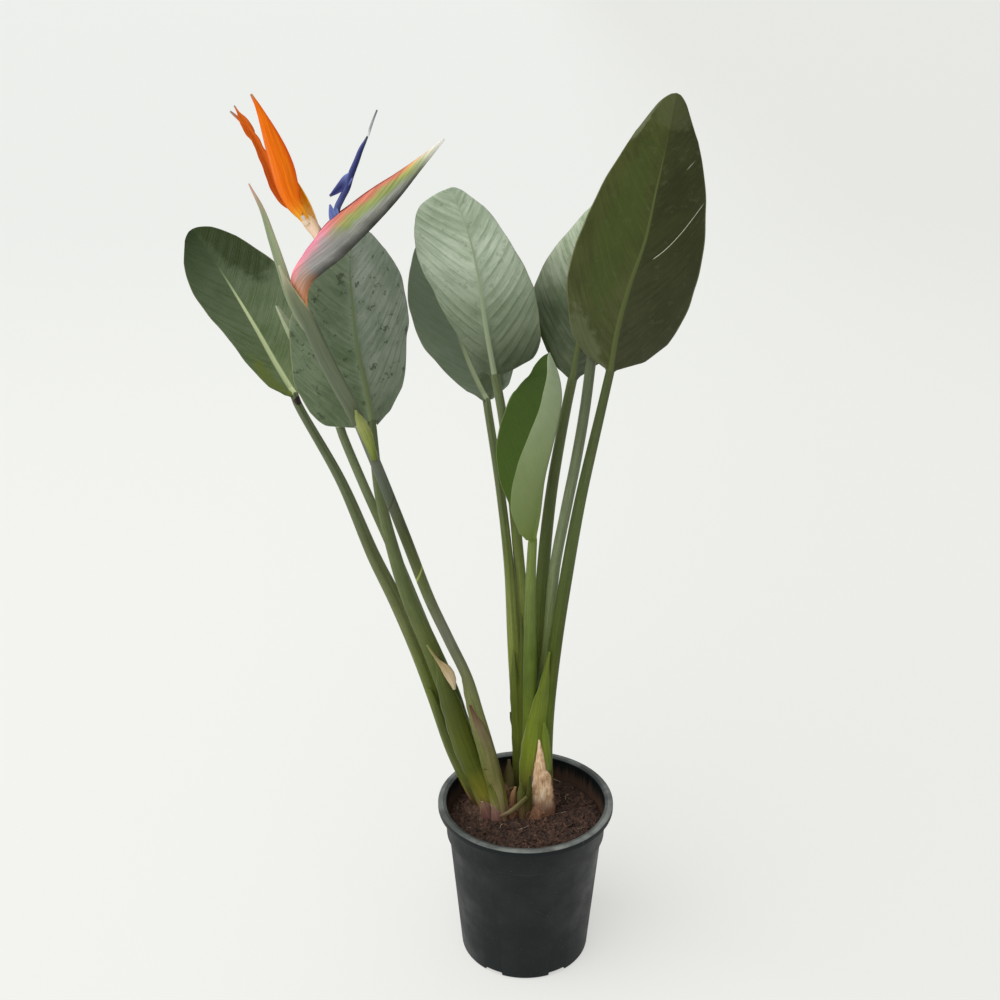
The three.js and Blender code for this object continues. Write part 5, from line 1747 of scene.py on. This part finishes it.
SHEATHS = (
    Sheath("sheath_left_main", 2,
           ((-36, 172), (-42.7, 193.3), (-57, 230.5), (-72.1, 272.6), (-83.5, 313.9), (-92.4, 347.7),
           (-100.5, 383.7), (-105, 399.4)), (9, 12, 15.8, 16.6, 16, 14, 9.5, 2.5),
           ((0.24, 0.12, 0.09), (0.27, 0.25, 0.035), (0.085, 0.105, 0.01),
           (0.08, 0.096, 0.006), (0.07, 0.086, 0.008), (0.07, 0.09, 0.012), (0.1, 0.125, 0.02)),
           (0.14, 0.165, 0.05)),
    Sheath("sheath_left_back", 20,
           ((-52, 172), (-62.3, 198.7), (-78.8, 241.7), (-93.8, 283.9), (-106.2, 325.2), (-112.9, 345.6)),
           (8, 8, 10.8, 10.7, 7.1, 1.2), (EARTH, (0.13, 0.15, 0.03), MOSS, MOSS, (0.1, 0.125, 0.016))),
    Sheath("sheath_scape_front", -6,
           ((-25, 172), (-30.6, 207.5), (-37.8, 235.9), (-46, 277.8), (-56.4, 312.1), (-65.5, 339.1)),
           (5, 6, 10, 10, 7.6, 1.2),
           ((0.2, 0.1, 0.07), CREAM, (0.2, 0.185, 0.06), (0.17, 0.16, 0.055), (0.2, 0.15, 0.08),
            (0.13, 0.04, 0.028)),
           (0.13, 0.065, 0.04)),
    Sheath("sheath_scape_top", -5,
           ((-43.7, 250.6), (-56.4, 305.9), (-67.6, 359.8), (-73.1, 384.9), (-76.5, 396.6)),
           (9, 9.5, 9, 6.8, 2), ((0.15, 0.16, 0.04), (0.17, 0.18, 0.055), (0.16, 0.17, 0.07)),
           (0.2, 0.21, 0.1)),
    Sheath("sheath_right_front", 9,
           ((10, 172), (8, 213.5), (9.9, 256), (14.2, 304.6), (20, 345.4), (24.4, 385.4), (26.6, 402)),
           (14, 18, 19.6, 17.2, 12.4, 6, 1.2),
           (EARTH, (0.17, 0.17, 0.03), (0.19, 0.24, 0.02), FRESH, LEAFY, LEAFY), (0.26, 0.29, 0.1)),
    Sheath("sheath_right_left", 32,
           ((-13, 172), (-10, 195.7), (-8, 252.7), (-10.8, 308.4), (-13.3, 349.1), (-14.6, 389.1)),
           (7, 7.6, 9.4, 8.6, 6.6, 1.2),
           (EARTH, (0.17, 0.19, 0.03), (0.13, 0.16, 0.02), (0.12, 0.15, 0.02), (0.13, 0.16, 0.03))),
    Sheath("sheath_right_gap", 30, ((-2, 190), (-1, 240), (-2, 300), (-4, 360), (-5, 410), (-6, 440)),
           (9, 9.5, 8.5, 6.5, 4, 1),
           (OLIVE, (0.12, 0.15, 0.015), (0.095, 0.12, 0.014), (0.1, 0.125, 0.022))),
    Sheath("sheath_right_small", 1, ((27.5, 245), (26.4, 259.3), (23.8, 280.2), (22.3, 300.9), (21, 311.8)),
           (4, 4.8, 5.9, 4.7, 1.2), ((0.13, 0.16, 0.03), FRESH, FRESH), (0.1, 0.13, 0.015)),
    Sheath("sheath_middle_olive", 15, ((-19, 172), (-19.7, 201.5), (-19.8, 230.2), (-19.9, 251.4)),
           (7, 8, 7.6, 1.6),
           (EARTH, (0.16, 0.12, 0.05), (0.12, 0.1, 0.035), (0.1, 0.08, 0.03)), (0.09, 0.05, 0.03)),
    Sheath("stub_olive", -1, ((-3, 172), (-4.1, 195.4), (-5.5, 214.1), (-5.6, 230)), (5, 6.6, 6, 1.4),
           (EARTH, (0.2, 0.14, 0.06), OLIVE, OLIVE), EARTH),
    Sheath("stub_spike", -3, ((3.5, 176), (4.1, 208.3), (5.2, 226.8), (5.1, 240)), (4.6, 5.2, 3.6, 1.2),
           (EARTH, (0.09, 0.085, 0.02), MOSS), CREAM),
    Sheath("stub_spur", 36, ((-13.6, 284), (-16.4, 295.5), (-17.8, 304.5)), (3.5, 2.9, 1.2),
           (MOSS, (0.04, 0.05, 0.01))),
    Sheath("stub_crescent", -8, ((2, 214), (-6.7, 203.5), (-17.5, 192.5), (-28.2, 187), (-35.5, 187)),
           (2.6, 3.6, 4, 3.4, 1.2),
           ((0.13, 0.12, 0.035), (0.2, 0.16, 0.07), (0.22, 0.13, 0.08)), (0.1, 0.055, 0.03)),
    Sheath("stub_red", -4, ((-41, 172), (-43.9, 181.7), (-47.5, 194.7), (-52.2, 205)), (11, 12, 9, 1.2),
           (RED, (0.2, 0.09, 0.08), (0.26, 0.14, 0.1), PINK), PINK),
    Sheath("stub_pink", -9, ((-33, 172), (-34, 184), (-36.4, 194), (-41, 203)), (8, 8, 6, 1.2),
           (RED, (0.28, 0.15, 0.12), PINK), (0.55, 0.4, 0.28)),
    Sheath("stub_yellow", -8, ((-33, 184), (-36.6, 202), (-40.2, 218), (-44.4, 232)), (4.6, 6.4, 5.4, 1.4),
           ((0.2, 0.1, 0.07), CREAM, (0.2, 0.21, 0.04), (0.12, 0.135, 0.018)), (0.3, 0.27, 0.1)),
    Sheath("stub_tan", 3, ((-15, 174), (-15.5, 196.9), (-14.6, 208), (-12, 221)), (5, 5.4, 5, 1.4),
           (EARTH, (0.24, 0.12, 0.06), (0.4, 0.24, 0.12)), EARTH),
    Sheath("sheath_dry_left", -7,
           ((-83.2, 361), (-86.6, 373.6), (-92.6, 386.7), (-101.4, 398.5), (-108.8, 410.2),
            (-113.7, 419.3)),
           (1.8, 6, 6.6, 3, 1.5, 0.9),
           ((0.5, 0.4, 0.25), (0.55, 0.42, 0.26), (0.45, 0.33, 0.17), (0.3, 0.25, 0.1), (0.28, 0.29, 0.1)),
           (0.22, 0.13, 0.07), 34.0, "dry_sheath"),
    Sheath("sheath_bract_foot", -47.5,
           ((-162, 660), (-164.3, 670.9), (-168.6, 686.9), (-174.3, 703.3), (-178.3, 719.6)),
           (5.2, 6.5, 8.6, 7.6, 1),
           ((0.14, 0.18, 0.03), (0.24, 0.28, 0.06), (0.34, 0.36, 0.11), (0.26, 0.3, 0.1)),
           (0.45, 0.44, 0.2), 70.0, lean=-0.18),
)


@dataclass
class Crown:
    """The rootstock with its fibrous roots, and the dry and green sheaths round it."""

    lobes: tuple[Lump, ...] = ((-42, 24, 33, 31, 5), (12, 41, 33, 35, 6))
    roots: tuple[Lump, ...] = ((-25, 17, 10, 8, 40), (10, 3, 12, 8, 15), (-20, 6, 12, 7, 13))
    depth: float = 26.0

    def mound(self, name: str, lumps: Sequence[Lump]) -> bpy.types.Object:
        """Builds lumps, each with its X, Y, two half widths and height, as one body."""
        work = bmesh.new()
        for x, y, half_x, half_y, rise in lumps:
            made = bmesh.ops.create_icosphere(work, subdivisions=5, radius=1.0)
            for vert in made["verts"]:
                up = vert.co.z > 0
                half_z = rise if up else self.depth
                co = Vector((vert.co.x * half_x, vert.co.y * half_y, vert.co.z * half_z))
                knobs = noise.fractal(Vector((co.x + x, co.y + y, co.z)) * 0.13, 1.0, 2.0, 4)
                co = co * (1 + 0.03 * knobs) + Vector((0, 0, (1.3 * knobs) if up else 0.0))
                vert.co = (co + Vector((x, y, SOIL_LEVEL))) * MM
        mesh = bpy.data.meshes.new(name)
        work.to_mesh(mesh)
        work.free()
        piece = shown(name, mesh)
        fuse = piece.modifiers.new("fuse", "REMESH")
        fuse.mode = "VOXEL"
        fuse.voxel_size = 1.2 * MM
        take_result(piece)
        piece.data.polygons.foreach_set("use_smooth", [True] * len(piece.data.polygons))
        return piece

    def dry_sheaths(self) -> tuple[Petal, ...]:
        """Returns the dry and old sheaths at the foot of the fans."""
        tan = DryFinish((1.0, 0.86, 0.66), (0.7, 0.46, 0.26), (0.22, 0.1, 0.05), 1.6, 0.9,
                        (0.15, 0.07, 0.04))
        brown = DryFinish((0.42, 0.27, 0.16), (0.17, 0.09, 0.05), (0.04, 0.022, 0.015))
        red = DryFinish((0.45, 0.3, 0.2), (0.2, 0.08, 0.06), (0.06, 0.025, 0.025), red_foot=0.5)
        sides = ((0.35, 0.1, 0.6), (-0.2, 0.1, 0.5))
        return (
            Petal(
                "dry_front_sheath", "dry_sheath_front", "dry_sheath",
                ((18, 1.5, 172), (18, 2, 205), (18.5, 3, 234), (17, 5, 265), (15.7, 7.5, 284)),
                (0.1, 0.99, 0), (18, 19, 17, 13.5, 9.5, 5, 1.2), 4, 20, tan, crease=sides, ragged=0.04,
            ),
            Petal(
                "old_middle_sheath", "old_sheath_middle", "old_sheath",
                ((-15, 27, 172), (-18, 26, 205), (-20, 25, 238)),
                (1, 0.2, 0), (7, 9, 8, 5, 1), 6, 60, brown, crease=sides, ragged=0.12,
            ),
            Petal(
                "old_left_sheath", "old_sheath_left", "old_sheath",
                ((-43, -2, 172), (-46, -3, 188), (-50, -4, 204)),
                (0.1, 1, 0.2), (7, 9, 8, 5, 1), 6, 54, red, crease=sides, ragged=0.1,
            ),
            Petal(
                "old_low_sheath", "old_sheath_low", "old_sheath",
                ((-13, 9.5, 172), (-11.5, 8.8, 184), (-9, 8, 199)),
                (0.3, 0.95, 0.1), (6, 8, 7, 4, 1), 6, 50, brown, crease=sides, ragged=0.1,
            ),
        )

    def build(self) -> None:
        """Builds and dresses the crown."""
        fibre = DryFinish((0.24, 0.13, 0.075), (0.08, 0.04, 0.022), (0.022, 0.012, 0.008), fine=0.8)
        rootstock = settle(self.mound("crown_rootstock", self.lobes), "rootstock", fibre, "rootstock")
        tuft = DryFinish((0.48, 0.27, 0.13), (0.22, 0.1, 0.05), (0.06, 0.028, 0.016), fine=0.8)
        roots = settle(self.mound("crown_roots", self.roots), "old_sheath", tuft)
        dull = DryFinish((0.26, 0.15, 0.09), (0.1, 0.05, 0.03), (0.03, 0.016, 0.011))
        warm = DryFinish((0.56, 0.36, 0.23), (0.27, 0.14, 0.085), (0.09, 0.04, 0.025))
        tree = Scatter(Grit.STRAND)
        beds = (("crown_fibres", rootstock, dull, 16000.0, 5), ("root_fibres", roots, warm, 60000.0, 8))
        for name, surface, hair, density, seed in beds:
            tree.over(
                name, surface, "old_sheath", Density=density, Seed=seed, Smallest=0.005, Largest=0.015,
                Shape=(0.028, 0.0, 0.0), Tilt=1.3, Finish=hair.material(name + "_finish"), **ON_CROWN,
            )
        for sheath in (*self.dry_sheaths(), *SHEATHS):
            sheath.build()


# The stage: the camera is solved from the pot in the photograph
LENS, SENSOR, FAR_END = 50.4, 36.0, 200.0
CAMERA_PLACE, CAMERA_DIP = (-0.03065, -1.4119, 1.18917), 22.81
SUN_PLACE, SUN_SPREAD, SUN_STRENGTH = (-1.5, -1.3, 2.4), 70.0, 2.15
SKY, SKY_STRENGTH = (0.98, 1.0, 0.97, 1.0), 0.5
FLOOR_REACH, FLOOR_GLOW = 90000.0, 0.54


def dress_floor() -> None:
    """Lays the pale floor, glowing with painted light that fades to the right and into the distance."""
    corners = [(x * FLOOR_REACH, y * FLOOR_REACH, 0.0) for x, y in ((-1, -1), (1, -1), (1, 1), (-1, 1))]
    floor = mesh_from("floor", corners, [(0, 1, 2, 3)])
    coat = Coat("floor_finish")
    x, y, _ = coat.parts(coat.place)
    # painted light: the floor glows, brighter on the left, fading to the right and into the distance
    near = coat.mix(coat.span(x, -0.7, 0.8), (1.0, 1.0, 0.975), (0.9, 0.9, 0.87))
    far = coat.mix(coat.span(x, 0.2, 1.8), (0.89, 0.9, 0.885), (0.8, 0.8, 0.78))
    coat.shade({
        "Base Color": (0.34, 0.345, 0.33), "Emission Color": coat.mix(coat.span(y, 0.2, 5.0), near, far),
        "Emission Strength": FLOOR_GLOW, "Roughness": 0.9,
    })
    floor.data.materials.append(coat.material)


def dress_stage() -> None:
    """Sets the floor, the soft light and the camera at the photograph's angle."""
    dress_floor()
    scene = bpy.context.scene
    scene.world = bpy.data.worlds.new("studio")
    scene.world.use_nodes = True
    background = scene.world.node_tree.nodes["Background"]
    background.inputs["Color"].default_value = SKY
    background.inputs["Strength"].default_value = SKY_STRENGTH
    sun = bpy.data.lights.new("key", "SUN")
    sun.angle = math.radians(SUN_SPREAD)
    sun.energy = SUN_STRENGTH
    holder = bpy.data.objects.new("key", sun)
    holder.location = SUN_PLACE
    holder.rotation_mode = "QUATERNION"
    holder.rotation_quaternion = (-Vector(SUN_PLACE)).to_track_quat("-Z", "Y")
    scene.collection.objects.link(holder)
    camera = bpy.data.cameras.new("camera")
    camera.lens, camera.sensor_width, camera.clip_end = LENS, SENSOR, FAR_END
    holder = bpy.data.objects.new("camera", camera)
    holder.location = CAMERA_PLACE
    holder.rotation_euler = (math.radians(90 - CAMERA_DIP), 0.0, 0.0)
    scene.collection.objects.link(holder)
    scene.camera = holder
    scene.view_settings.view_transform = "Standard"


def main() -> None:
    """Builds the plant from the pot up."""
    logging.basicConfig(level=logging.INFO, format="%(name)s: %(message)s")
    dress_stage()
    Pot().build()
    Soil().build()
    Crown().build()
    for leaf in LEAVES:
        leaf.build()
    Bud().build()
    Flower().build()


if __name__ == "__main__":
    main()
